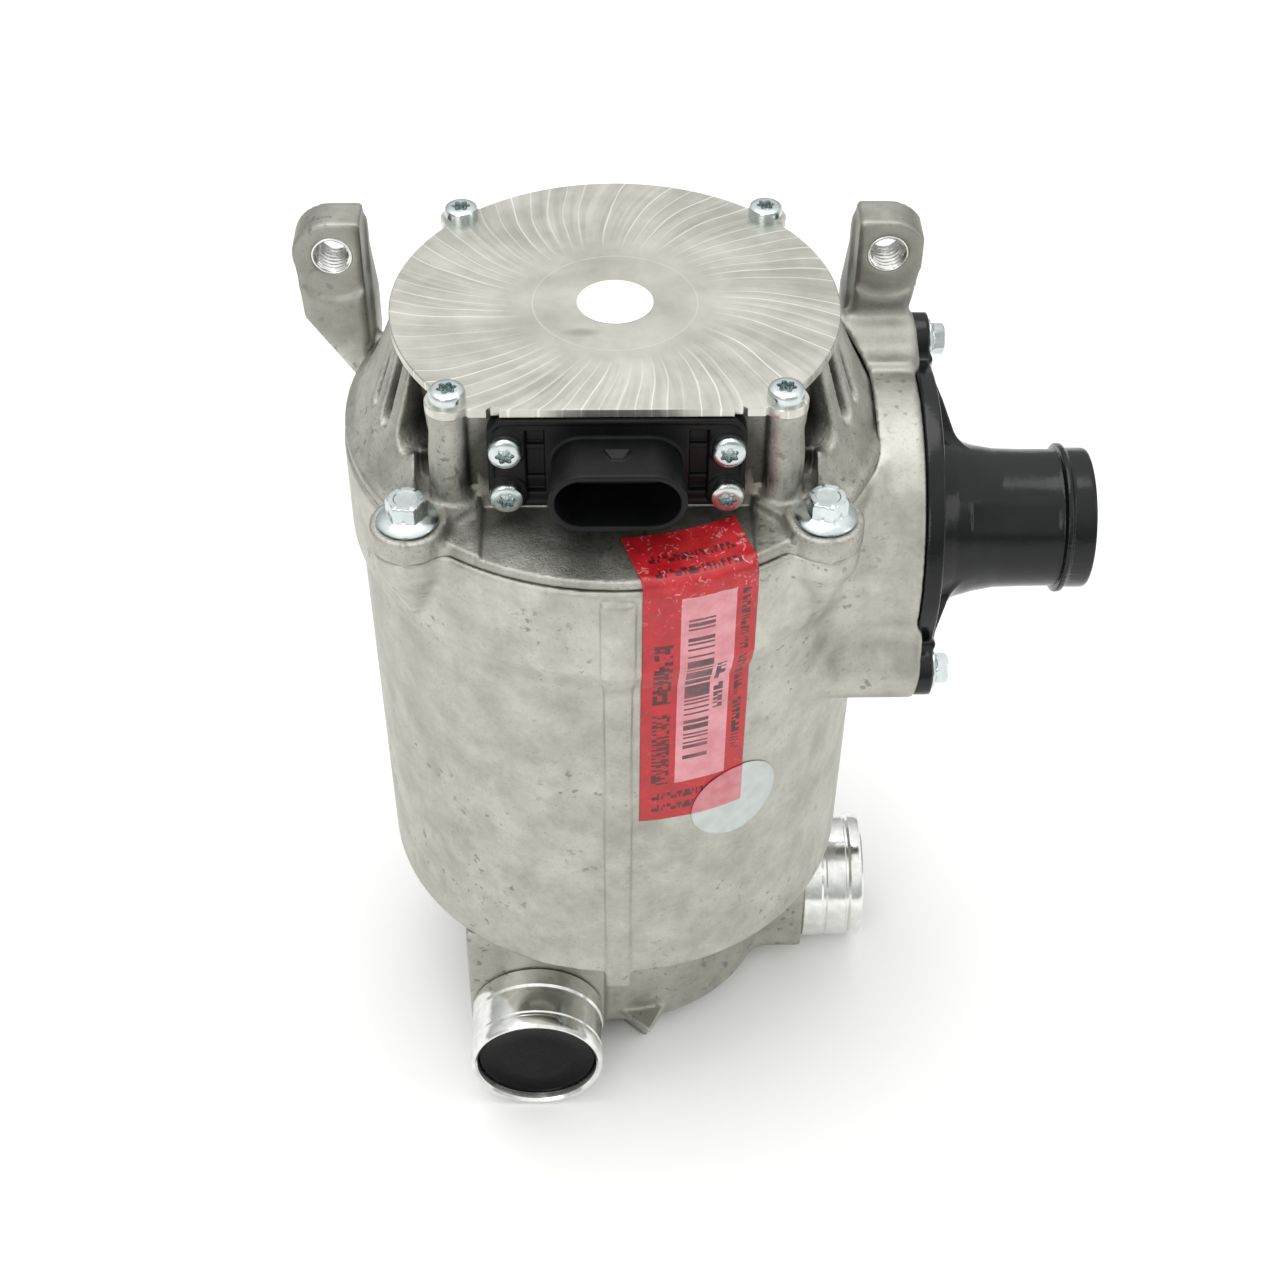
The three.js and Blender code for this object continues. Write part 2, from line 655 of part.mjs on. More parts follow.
// An ear in the XZ plane: flat on top, rounded outside, with a web down to the casting.
function ear(side) {
  const x = (distance) => earCentre + side * (earHoleHalf + distance);
  const z = (rise) => partingHeight + rise;
  const top = earHoleHeight + earTopMargin;
  const outline = [[x(-earInnerMargin), top]];
  const roundSteps = 6;
  for (let i = 0; i <= roundSteps; i += 1) {
    const a = (Math.PI / 2) * (1 - i / roundSteps);
    outline.push([x(earOuterMargin * Math.cos(a)), earHoleHeight + earTopMargin * Math.sin(a)]);
  }
  if (side < 0) outline.push([x(8.6), z(20.5)], [x(8.2), z(13.5)], [x(-3), z(-4)]);
  else outline.push([x(7.6), z(21.5)], [x(5.4), z(9.5)], [x(4.6), z(0.5)]);
  outline.push([x(-13), z(-11)], [x(-13), z(0)], [x(-earInnerMargin), z(2)]);
  const back = earFrontFace + earThickness;
  const plate = towardsFront(prism(outline, -back, -earFrontFace));

  const inner = Math.abs(x(-earInnerMargin));
  const gusset = sidePrism([
    [back - 1, z(-8)], [back + gussetLength, z(-8)], [back + gussetLength, z(6)], [back - 1, top - 4],
  ], inner - 0.5, inner - 0.5 + gussetWidth);
  return plate.add(side > 0 ? gusset : gusset.mirror([1, 0, 0]));
}

// The rib down the front follows the casting's taper and ends below its bottom edge.
function frontRib(profile) {
  const front = profile.map(([radius, z]) => [-radius - frontRibHeight, z]);
  const [first, last] = [front[0], front[front.length - 1]];
  const [low, high] = [voluteTop - frontRibDrop, partingHeight - 3];
  const inside = -motorBoreRadius - 1;
  const outline = [[inside, low], [first[0], low], ...front.slice(0, -1), [last[0], high], [inside, high]];
  return sidePrism(outline, -frontRibWidth / 2, frontRibWidth / 2);
}

function housingOutside() {
  const rimBottom = partingHeight - rimLength;
  const profile = [
    [motorHousingRadius, voluteTop], [motorHousingRadius + rimRampStart, rimBottom - rimRamp],
    [motorHousingRimRadius, rimBottom], [motorHousingRimRadius, partingHeight],
  ];
  const outside = turned([[0, voluteTop], ...profile, [0, partingHeight]]);
  const columnRadius = housingBoltBossRadius - 0.4;
  const columns = corners(housingBoltHalf).map(([x, y]) => at(turned([
    [0, partingHeight - 24], [2, partingHeight - 24], [columnRadius, partingHeight - 7],
    [columnRadius, partingHeight], [0, partingHeight],
  ]), x, y));
  const plenum = onPlenum(plenumOutline(plenumRadius, intakeLugRadius, motorBoreRadius / 2, plenumReach));
  const earFoot = box(
    plenumReach - 13.2, plenumReach, earFrontFace - 15.8, earFrontFace + 6.5,
    partingHeight - 5.5, partingHeight + 8.8,
  );
  return union([outside, ...columns, plenum, earFoot, frontRib(profile), ear(-1), ear(1)]);
}

// What is cut for the rotor, below and through the floor of the motor's bore.
function floorCuts() {
  const flangeRoom = voluteFlangeRadius + touching;
  const windowNear = bearingHubRadius + 4;
  const windowFar = voluteRadius - 5.5;
  const window = prism(
    [[windowNear, -10], [windowFar, -14], [windowFar, 14], [windowNear, 10]],
    motorFloorBottom - 1, motorFloorTop + 1,
  );
  return union([
    disc(flangeRoom, voluteTop - 10, voluteTop + voluteFlangeThickness + touching),
    disc(voluteRadius - 3, voluteTop, motorFloorBottom),
    ...atAngles(window, evenly(floorWindowCount, 45)),
  ]);
}

function motorHousing() {
  let made = housingOutside().subtract(headClearance());

  // The bore for the motor, closed by a floor that has windows round a hub.
  made = made.subtract(disc(motorBoreRadius, motorFloorTop, partingHeight + 1)).subtract(floorCuts());
  made = made.add(disc(bearingHubRadius, motorFloorBottom, lowerBearingHeight + bearingWidth + 2));
  const bearingSeat = bearingOuterRadius + pressed;
  made = made.subtract(disc(bearingSeat, motorFloorBottom + 2, partingHeight, matedFacets));
  made = made.subtract(disc(shaftRadius + 2, motorFloorBottom - 1, partingHeight));

  // Ribs that hold the stator.
  const half = statorRibWidth / 2;
  const statorRib = box(statorRadius + 0.1, motorBoreRadius + 1, -half, half, motorFloorTop - 1, statorTop);
  made = union([made, ...atAngles(statorRib, evenly(statorRibCount, 180 / statorRibCount))]);

  // The plenum's hollow opens into the bore beside the stator, below the head's spigot.
  const hollow = onPlenum(disc(plenumRadius - plenumWall, motorBoreRadius - 15, plenumReach + 1));
  const ductTop = partingHeight - spigotDepth - 3;
  const duct = hollow.subtract(disc(beyond, ductTop, beyond));
  made = made.subtract(duct.subtract(disc(motorBoreRadius + 0.1, motorFloorTop, partingHeight)));

  // Tapped holes: head bolts, intake screws, volute bolts and the ears.
  for (const [x, y] of corners(housingBoltHalf))
    made = made.subtract(at(tapped(housingBolt, 19), x, y, partingHeight));
  for (const [y, z] of intakeScrewPlaces)
    made = made.subtract(at(towardsSide(tapped(intakeScrew, 11)), plenumReach, y, z));
  const voluteHole = at(disc(m5 + holeClearance, voluteTop, voluteTop + 14), voluteBoltCircle, 0);
  made = made.subtract(union(atAngles(voluteHole, voluteBoltAngles)));
  const earHole = at(towardsFront(disc(earHoleRadius, -beyond, 0)), earCentre, 0, earHoleHeight);
  for (const x of [-earHoleHalf, earHoleHalf]) made = made.subtract(at(earHole, x, 0));
  return made;
}

// The space that the head and its bolt bosses keep free above the parting plane.
function headClearance() {
  const bosses = corners(housingBoltHalf).map(([x, y]) =>
    at(disc(housingBoltBossRadius + 0.6, partingHeight, boltSeat + 12), x, y));
  return union([headSide(0.5), ...bosses]);
}

place("motor_housing", motorHousing(), castAluminium);

// ---------- intake spigot ----------

const intakeORing = { inner: plenumRadius - 4.3, outer: plenumRadius - 2.3, depth: 1.2 };

function intakeSpigot() {
  const face = plenumReach + touching;
  const plateTop = face + intakeFlangeThickness;
  const plate = plenumOutline(plenumRadius - 0.4, intakeLugRadius - 0.3, face, plateTop);
  const drop = intakeAxisDrop - plenumDrop;
  const neckRadius = intakeNeckRadius;
  const beadRadius = neckRadius + intakeBeadHeight;
  const bead = intakeReach - 8.5;
  const neck = at(turned([
    [0, plateTop - 1], [neckRadius + 11, plateTop], [neckRadius + 6, plateTop + 1.4],
    [neckRadius + 3.4, plateTop + 4.4], [neckRadius + 1.4, plateTop + 10], [neckRadius + 0.2, plateTop + 17],
    [neckRadius, bead - 1], [beadRadius, bead], [beadRadius, bead + 1.6], [neckRadius + 0.3, bead + 2.2],
    [neckRadius + 0.3, intakeReach - 0.8], [neckRadius - 0.4, intakeReach], [0, intakeReach],
  ]), drop, 0);
  const boreRadius = neckRadius - intakeWall;
  const mouth = neckRadius + 6;
  const bore = at(turned([
    [0, face - 1], [mouth, face - 1], [mouth, face + 0.1], [boreRadius + 3, plateTop + 3],
    [boreRadius, plateTop + 14], [boreRadius, intakeReach + 1], [0, intakeReach + 1],
  ]), drop, 0);
  const groove = ring(
    intakeORing.inner - touching, intakeORing.outer + touching, face - 1, face + intakeORing.depth + 0.2,
  );
  let made = onPlenum(plate.add(neck).subtract(bore).subtract(groove));
  const hole = towardsSide(disc(m4 + holeClearance, face - 1, plateTop + 2));
  for (const [y, z] of intakeScrewPlaces) made = made.subtract(at(hole, 0, y, z));
  return made;
}

place("intake_spigot", intakeSpigot(), blackPlastic);
place("intake_o_ring", onPlenum(ring(
  intakeORing.inner, intakeORing.outer, plenumReach + 0.1, plenumReach + touching + intakeORing.depth,
)), rubber);

const boltForIntake = towardsSide(flangeBolt(
  intakeScrew.shank, intakeScrew.flange, intakeScrew.flats, intakeScrew.height, intakeScrew.length,
));
const intakeScrewSeat = plenumReach + touching + intakeFlangeThickness;
intakeScrewPlaces.forEach(([y, z], i) =>
  place(`intake_screw_${i + 1}`, at(boltForIntake, intakeScrewSeat, y, z), zincPlate));

// ---------- stator ----------

const yokeInner = statorRadius - statorYoke;
const toothAngles = evenly(statorTeeth);

// A wedge from the axis outwards, that many degrees to each side of +X.
function wedge(half, low, high) {
  const reach = 1.2 * statorRadius;
  const rise = reach * Math.tan(degrees(half));
  return prism([[0, 0], [reach, -rise], [reach, rise]], low, high);
}

function statorCore() {
  const shoeHalf = 18;
  const shoeRing = ring(statorBore, statorBore + shoeDepth, statorBottom, statorTop);
  const shoe = shoeRing.intersect(wedge(shoeHalf, statorBottom - 1, statorTop + 1));
  const half = toothWidth / 2;
  const stem = box(statorBore + 1, yokeInner + 1, -half, half, statorBottom, statorTop);
  const yoke = ring(yokeInner, statorRadius, statorBottom, statorTop);
  const bore = disc(statorBore, statorBottom - 1, statorTop + 1);
  return union([yoke, ...atAngles(shoe.add(stem), toothAngles)]).subtract(bore);
}

place("stator_core", statorCore(), siliconSteel);

function statorCoil() {
  const inner = toothWidth / 2 + touching;
  const outer = inner + coilThickness;
  const [near, far] = [statorBore + shoeDepth + touching, yokeInner - 2.2];
  const [low, high] = [statorBottom - coilThickness, statorTop + coilThickness];
  const block = box(near, far, -outer, outer, low, high);
  const hole = box(near - 1, far + 1, -inner, inner, statorBottom - touching, statorTop + touching);
  const laneHalf = 180 / statorTeeth - 1;
  const room = disc(yokeInner - 0.4, low, high).intersect(wedge(laneHalf, low, high));
  return block.intersect(room).subtract(hole);
}

atAngles(statorCoil(), toothAngles).forEach((coil, i) => place(`stator_coil_${i + 1}`, coil, copper));

// ---------- rotor and bearings ----------

const nutHeight = 6.7;
const impellerSeatRadius = shaftRadius - shaftStep;
const journalRadius = shaftRadius - pressed;
const rotorShoulder = shaftRadius + rotorShoulderHeight;
const shaftBottom = impellerBottom - nutHeight - 2.8;
const shaftTop = upperBearingHeight + bearingWidth - 1;
const lowerBearingTop = lowerBearingHeight + bearingWidth;

function rotorShaft() {
  return turned([
    [0, shaftBottom], [impellerSeatRadius, shaftBottom], [impellerSeatRadius, impellerTop],
    [journalRadius, impellerTop], [journalRadius, lowerBearingTop],
    [rotorShoulder, lowerBearingTop + touching], [rotorShoulder, upperBearingHeight - touching],
    [journalRadius, upperBearingHeight], [journalRadius, shaftTop], [0, shaftTop],
  ]);
}

place("rotor_shaft", rotorShaft(), bearingSteel);
const magnets = ring(rotorShoulder + snug, statorBore - airGap, statorBottom, statorTop, matedFacets);
place("rotor_magnets", magnets, siliconSteel);

// The balls and their cage as one piece: a thin ring that swells into a ball at every pocket.
function beadedRing(middle) {
  const stepsPerBall = 4;
  const beads = new THREE.TorusGeometry(pitchRadius, 1, 6, stepsPerBall * ballCount);
  const point = beads.attributes.position;
  const cageRadius = 0.7;
  for (let i = 0; i < point.count; i += 1) {
    const [x, y, z] = [point.getX(i), point.getY(i), point.getZ(i)];
    const angle = Math.atan2(y, x);
    const pocket = (2 * Math.PI) / ballCount;
    const away = pitchRadius * Math.abs(angle - pocket * Math.round(angle / pocket));
    const bead = Math.sqrt(Math.max(ballRadius ** 2 - away ** 2, cageRadius ** 2));
    const reach = pitchRadius + (Math.hypot(x, y) - pitchRadius) * bead;
    point.setXYZ(i, reach * Math.cos(angle), reach * Math.sin(angle), middle + z * bead);
  }
  return solid(beads);
}

// A ball bearing in three pieces, with its races grooved for the balls.
function bearing(name, low) {
  const middle = low + bearingWidth / 2;
  const track = ballRadius + ballClearance;
  const steps = 3;
  const arc = (centre, from, to) => Array.from({ length: steps + 1 }, (_, i) => {
    const a = degrees(from + ((to - from) * i) / steps);
    return [centre + track * Math.cos(a), middle + track * Math.sin(a)];
  });
  const cutAngle = (Math.acos((pitchRadius - innerRace.outer) / track) * 180) / Math.PI;
  const high = low + bearingWidth;
  const inner = [
    [innerRace.inner, low], [innerRace.outer, low], ...arc(pitchRadius, 180 + cutAngle, 180 - cutAngle),
    [innerRace.outer, high], [innerRace.inner, high], [innerRace.inner, low],
  ];
  const outer = [
    [outerRace.inner, low], [outerRace.outer, low], [outerRace.outer, high], [outerRace.inner, high],
    ...arc(pitchRadius, cutAngle, -cutAngle), [outerRace.inner, low],
  ];
  place(`${name}_inner_race`, turned(inner, matedFacets), bearingSteel);
  place(`${name}_outer_race`, turned(outer, matedFacets), bearingSteel);
  place(`${name}_ball_cage`, beadedRing(middle), bearingSteel);
}

bearing("lower_bearing", lowerBearingHeight);
bearing("upper_bearing", upperBearingHeight);

// A wave washer that presses on the upper outer race.
function preloadSpring() {
  const [inner, outer, thickness] = [outerRace.inner - 1, outerRace.outer - 0.4, 0.5];
  const room = headFloorBottom - (upperBearingHeight + bearingWidth);
  const middle = upperBearingHeight + bearingWidth + room / 2;
  const lift = room / 2 - thickness / 2 - 0.1;
  const washer = new THREE.LatheGeometry([
    new THREE.Vector2(inner, -thickness / 2), new THREE.Vector2(outer, -thickness / 2),
    new THREE.Vector2(outer, thickness / 2), new THREE.Vector2(inner, thickness / 2),
    new THREE.Vector2(inner, -thickness / 2),
  ]).rotateX(Math.PI / 2);
  const point = washer.attributes.position;
  const waves = 3;
  for (let i = 0; i < point.count; i += 1) {
    const angle = Math.atan2(point.getY(i), point.getX(i));
    point.setZ(i, point.getZ(i) + middle + lift * Math.cos(waves * angle));
  }
  return solid(washer);
}

place("preload_spring", preloadSpring(), bearingSteel);
place("shaft_seal", ring(
  shaftRadius + runningClearance, bearingOuterRadius - snug, motorFloorBottom + 2.1, lowerBearingHeight - 0.5,
), rubber);

// ---------- impeller ----------

function impellerBlade() {
  const [left, right] = [[], []];
  const steps = 4;
  const sweep = 48;
  const root = impellerSeatRadius + 4;
  for (let i = 0; i <= steps; i += 1) {
    const radius = root + ((impellerRadius - 0.3 - root) * i) / steps;
    const angle = degrees(-sweep * Math.pow(i / steps, 1.2));
    const half = bladeThickness / 2 / radius;
    left.push([radius * Math.cos(angle - half), radius * Math.sin(angle - half)]);
    right.unshift([radius * Math.cos(angle + half), radius * Math.sin(angle + half)]);
  }
  return prism([...left, ...right], impellerBottom + 1, impellerTop);
}

function impeller() {
  const hubTop = impellerSeatRadius + 4.5;
  const hub = turned([
    [0, impellerBottom], [impellerRadius, impellerBottom], [impellerRadius, impellerBottom + 2],
    [impellerRadius * 0.6, impellerBottom + 5], [hubTop + 3.5, impellerBottom + 11],
    [hubTop, impellerTop], [0, impellerTop],
  ]);
  const envelope = turned([
    [0, impellerBottom], [impellerRadius, impellerBottom], [impellerRadius, impellerTop - 12],
    [eyeRadius + 3, impellerTop - 6.4], [eyeRadius - 2, impellerTop], [0, impellerTop],
  ]);
  const blades = union(atAngles(impellerBlade(), evenly(bladeCount)));
  const whole = hub.add(blades.intersect(envelope));
  return whole.subtract(disc(impellerSeatRadius + 0.03, 0, impellerTop + 1, matedFacets));
}

place("impeller", impeller(), machinedAluminium);
const nutFlats = 13;
const nut = disc(nutFlats / Math.sqrt(3), impellerBottom - nutHeight - 0.1, impellerBottom - 0.1, 6);
const nutBore = disc(impellerSeatRadius + 0.03, 0, impellerBottom, matedFacets);
place("impeller_nut", nut.subtract(nutBore), zincPlate);

// ---------- volute ----------

const flangeTop = voluteTop + voluteFlangeThickness;
const plateSeat = flangeTop - inletPlateThickness - touching;
const chamberRadius = voluteRadius - voluteWall;
const plateRadius = chamberRadius + 3;

// A U-shaped arm along +Z that carries an outlet, its axis on the outlet's and its top flush with the flange.
function outletArm(length) {
  const half = outletLipRadius + 0.6;
  const low = -outletAxisHeight + 0.5;
  const shape = new THREE.Shape();
  shape.moveTo(half, low + 8);
  shape.lineTo(half, voluteTop - outletAxisHeight);
  shape.lineTo(-half, voluteTop - outletAxisHeight);
  shape.lineTo(-half, low + 8);
  shape.lineTo(-half + 8, low);
  shape.lineTo(half - 8, low);
  shape.closePath();
  return prism(shape, 0, length);
}

const toFrontOutlet = (made) => at(towardsFront(made), frontOutletX, 0, outletAxisHeight);
const toSideOutlet = (made) => at(towardsSide(made.rotate([0, 0, 90])), 0, 0, outletAxisHeight);

const outlets = [
  { port: "front", face: frontOutletFace, length: frontOutletLength, turn: toFrontOutlet },
  { port: "side", face: sideOutletFace, length: sideOutletLength, turn: toSideOutlet },
];
const spigotInsertRadius = outletBoreRadius + spigotInsertWall;

function voluteHousing() {
  const outside = disc(voluteRadius, voluteFloorHeight, voluteTop + 0.1);
  const flange = disc(voluteFlangeRadius, voluteTop, flangeTop);
  const footTop = voluteFloorHeight + 6;
  const foot = at(turned([[0, 0], [3, 0], [4.5, footTop], [0, footTop]]), voluteRadius - 4, 0);
  const bossTop = voluteFloorHeight + 1;
  const centreBoss = turned([[0, 0], [11, 0], [14, bossTop], [0, bossTop]]);
  const arms = outlets.map(({ face, turn }) => turn(outletArm(face)));
  let made = union([outside, flange, ...atAngles(foot, footAngles), centreBoss, ...arms]);

  made = made.subtract(disc(chamberRadius, voluteFloorHeight + voluteFloorThickness, flangeTop + 1));
  made = made.subtract(disc(plateRadius + touching, plateSeat, flangeTop + 1));
  for (const { face, turn } of outlets) {
    const bore = disc(outletBoreRadius, voluteRadius / 2, face + 1, matedFacets);
    const insertBottom = face - spigotInsert - touching;
    const insert = disc(spigotInsertRadius + snug, insertBottom, face + 1, matedFacets);
    made = made.subtract(turn(bore)).subtract(turn(insert));
  }
  const boltHole = disc(m5 + 0.4, voluteTop - 1, flangeTop + 1);
  const headRoom = disc(voluteBolt.flange + 2 * touching, voluteTop - 12, voluteTop);
  const boltCut = at(boltHole.add(headRoom), voluteBoltCircle, 0);
  return made.subtract(union(atAngles(boltCut, voluteBoltAngles)));
}

place("volute_housing", voluteHousing(), castAluminium);
const inletPlate = ring(eyeRadius, plateRadius, plateSeat + snug, plateSeat + inletPlateThickness);
place("inlet_plate", inletPlate, machinedAluminium);

const boltForVolute = flangeBolt(
  voluteBolt.shank, voluteBolt.flange, voluteBolt.flats, voluteBolt.height, voluteBolt.length,
).rotate([180, 0, 0]);
voluteBoltAngles.forEach((angle, i) => {
  const bolt = at(boltForVolute, voluteBoltCircle, 0, voluteTop).rotate([0, 0, angle]);
  place(`volute_bolt_${i + 1}`, bolt, zincPlate);
});

// A turned spigot with a collar, a groove, and a rounded lip.
function outletSpigot(face, length) {
  const start = face + snug;
  const end = face + length;
  const r = outletLipRadius;
  const outside = turned([
    [0, face - spigotInsert], [spigotInsertRadius, face - spigotInsert], [spigotInsertRadius, start],
    [r, start], [r, start + 6.8], [r - 0.6, start + 7.2], [r - 0.6, start + 8.4], [r, start + 8.8],
    [r, end - 0.8], [r - 0.5, end], [0, end],
  ], matedFacets);
  return outside.subtract(turned([
    [0, face - spigotInsert - 1], [outletBoreRadius, face - spigotInsert - 1], [outletBoreRadius, end - 1],
    [outletBoreRadius + 1, end + 0.1], [0, end + 0.1],
  ], matedFacets));
}

for (const { port, face, length, turn } of outlets)
  place(`${port}_outlet_spigot`, turn(outletSpigot(face, length)), machinedAluminium);

// The plug that closes the front outlet until the machine is fitted.
const plugFace = frontOutletFace + frontOutletLength - plugRecess;
const plugRadius = outletBoreRadius - runningClearance;
place("transport_plug", toFrontOutlet(turned([
  [0, plugFace - 1.6], [plugRadius - 2, plugFace - 1.6], [plugRadius - 2, plugFace - plugThickness],
  [plugRadius - 0.6, plugFace - plugThickness], [plugRadius, plugFace - plugThickness + 1],
  [plugRadius, plugFace - 0.4], [plugRadius - 0.4, plugFace], [0, plugFace],
], matedFacets)), rubber);

export default group;
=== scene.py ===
# %% [markdown]
# # An electrically driven supercharger
# A motor housing cast in aluminium stands on a volute with two hose outlets. An electronics head
# with a machined lid closes it at the top, and a black moulded spigot at its side takes in the air.
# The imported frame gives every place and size. This lesson makes the surfaces round that frame, one
# piece or finish at a time.

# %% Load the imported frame
import math

import bmesh
import bpy
import numpy as np
import openvdb
from mathutils import Matrix, Vector


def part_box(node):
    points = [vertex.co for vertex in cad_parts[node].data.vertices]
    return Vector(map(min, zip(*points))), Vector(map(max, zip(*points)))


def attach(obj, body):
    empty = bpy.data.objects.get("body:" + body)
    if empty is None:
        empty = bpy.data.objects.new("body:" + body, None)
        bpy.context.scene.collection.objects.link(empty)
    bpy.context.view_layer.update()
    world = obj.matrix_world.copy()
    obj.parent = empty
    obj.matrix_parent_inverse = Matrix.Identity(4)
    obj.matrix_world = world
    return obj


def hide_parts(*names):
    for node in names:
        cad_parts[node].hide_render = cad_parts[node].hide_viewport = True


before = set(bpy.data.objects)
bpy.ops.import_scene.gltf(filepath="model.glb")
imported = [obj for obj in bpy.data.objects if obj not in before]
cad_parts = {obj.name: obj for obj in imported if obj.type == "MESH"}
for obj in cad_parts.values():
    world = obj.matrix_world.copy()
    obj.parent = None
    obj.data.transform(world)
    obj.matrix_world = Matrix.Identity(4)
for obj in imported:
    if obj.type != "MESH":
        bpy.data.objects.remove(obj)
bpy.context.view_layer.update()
MM = 0.001
HOUSING, PLUG = "housing", "plug"

# %% [markdown]
# ## Where things are
# Lengths are in millimetres here, as on a drawing, and become metres only when a mesh is made.
# The frame's boxes give the levels and the axes, so a change of size in the frame carries through.

# %% Levels and axes from the frame
def span(node):
    """The lowest and highest corner of a node, in millimetres."""
    low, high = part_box(node)
    return np.array(low) / MM, np.array(high) / MM


def middle(node):
    low, high = span(node)
    return (low + high) / 2


def numbered(name, count):
    """The names of nodes that are numbered from 1."""
    return [f"{name}_{i}" for i in range(1, count + 1)]


# The head, from the lid down to the joint under its flange.
LID_THICKNESS, BOLT_HEAD_HEIGHT, BOSS_HEIGHT, FLANGE_HEIGHT = 2.5, 6.4, 6.5, 3.4
LID_TOP, LID_RADIUS = span("electronics_lid")[1][2], span("electronics_lid")[1][0]
LID_SEAT = LID_TOP - LID_THICKNESS
POST = middle("lid_screw_3")[0]
BOLT = middle("housing_bolt_3")[0]
BOLT_SEAT = span("housing_bolt_1")[1][2] - BOLT_HEAD_HEIGHT
PARTING = BOLT_SEAT - BOSS_HEIGHT
HEAD_SHELF = PARTING + FLANGE_HEIGHT
CONNECTOR_LEVEL = middle("connector_shell")[2]

# The volute and its two outlets. A face is where an arm ends and its outlet starts.
VOLUTE_COLLAR = 5.0
VOLUTE_TOP = span("volute_housing")[1][2] - VOLUTE_COLLAR
FRONT_OUTLET_LENGTH, SIDE_OUTLET_LENGTH = 20.0, 18.0
OUTLET_LEVEL = middle("side_outlet_spigot")[2]
FRONT_OUTLET_X = middle("front_outlet_spigot")[0]
FRONT_FACE = -span("front_outlet_spigot")[0][1] - FRONT_OUTLET_LENGTH
SIDE_FACE = span("side_outlet_spigot")[1][0] - SIDE_OUTLET_LENGTH

# The plenum, the intake that it carries, and the three lugs round both.
INTAKE_GAP = 0.3
PLENUM_FACE = span("intake_spigot")[0][0] - INTAKE_GAP
PLENUM_LEVEL = PARTING - 30.2
INTAKE_LEVEL = PARTING - 34.5
INTAKE_MOUTH = span("intake_spigot")[1][0] - 0.15
LUG_CIRCLE = 43.0
LUG_ANGLES = [math.radians(a) for a in (57, 215, 318)]
LUGS = [(LUG_CIRCLE * math.cos(a), LUG_CIRCLE * math.sin(a)) for a in LUG_ANGLES]

# The two ears, and the radii of the holes for M4 screws and M6 bolts.
EAR_RADIUS = 9.0
EAR_LEVEL = span("motor_housing")[1][2] - EAR_RADIUS
EAR_CENTRE, EAR_HALF_SPACING = -0.9, 69.0
EAR_FACE, EAR_THICKNESS = 24.0, 11.0
SCREW_HOLE, BOLT_HOLE = 2.2, 3.5
print("lid top", round(LID_TOP, 1), "parting plane", round(PARTING, 1), "outlet axis", round(OUTLET_LEVEL, 1))

# %% [markdown]
# ## A colour and a node
# A hex colour is how a paint chart gives it, in sRGB. Blender's sockets want linear values, so one
# function turns one into the other. A second small function adds any node with its settings, and
# it serves materials and Geometry Nodes alike. Sums are chains of nodes, so a third passes on what a node
# gives. Every finish here also needs the same last links, for
# its colour, its roughness and its relief, so they are made in one place.

# %% Colour and node helpers
MATH, RAMP, MAP_RANGE = "ShaderNodeMath", "ShaderNodeValToRGB", "ShaderNodeMapRange"


def colour(code):
    parts = [int(code[i:i + 2], 16) / 255 for i in (1, 3, 5)]
    return tuple(c / 12.92 if c <= 0.04045 else ((c + 0.055) / 1.055) ** 2.4 for c in parts) + (1.0,)


def add(tree, kind, inputs=(), stops=(), **settings):
    """Adds a node. Its inputs are values, or sockets to link: a list in the node's order, or by name
    or number. The stops are a colour ramp's places and hex colours."""
    made = tree.nodes.new(kind)
    for key, value in settings.items():
        setattr(made, key, value)
    for key, value in inputs.items() if isinstance(inputs, dict) else enumerate(inputs):
        if isinstance(value, bpy.types.NodeSocket):
            tree.links.new(value, made.inputs[key])
        else:
            made.inputs[key].default_value = value
    if stops:
        points = made.color_ramp.elements
        while len(points) < len(stops):
            points.new(0.5)
        for point, (place, code) in zip(points, stops):
            point.position, point.color = place, colour(code)
    return made


def output_of(*what, **settings):
    """Adds a node and gives its first output."""
    return add(*what, **settings).outputs[0]


def per_metre(size_mm):
    """The scale that makes a pattern's feature this many millimetres wide on Object coordinates."""
    return 1000.0 / size_mm


# %% A material's start and its skin
def bare_material(name):
    """A new material, its node tree and its shader."""
    made = bpy.data.materials.new(name)
    made.use_nodes = True
    return made, made.node_tree, made.node_tree.nodes["Principled BSDF"]


def link_skin(tree, shader, base, wear, roughness, relief=None, strength=0.0, depth_mm=0.0):
    """Links a colour, a roughness between two values that follows a noise, and a relief."""
    tree.links.new(base, shader.inputs["Base Color"])
    rough = add(tree, MAP_RANGE,
                {"Value": wear, "From Min": 0.3, "From Max": 0.7, "To Min": roughness[0],
                 "To Max": roughness[1]})
    tree.links.new(rough.outputs["Result"], shader.inputs["Roughness"])
    if relief is not None:
        bump = add(tree, "ShaderNodeBump", {"Height": relief, "Strength": strength,
                                            "Distance": depth_mm * MM})
        tree.links.new(bump.outputs["Normal"], shader.inputs["Normal"])


# %% [markdown]
# ## Camera, floor and light
# The machine stands on a white table and is seen from above its front edge, about 43 degrees down.
# A large soft box hangs over it and weaker ones fill in from the front and the side, as a product
# photographer would set them, so its metal shows broad pale reflections with soft ends.

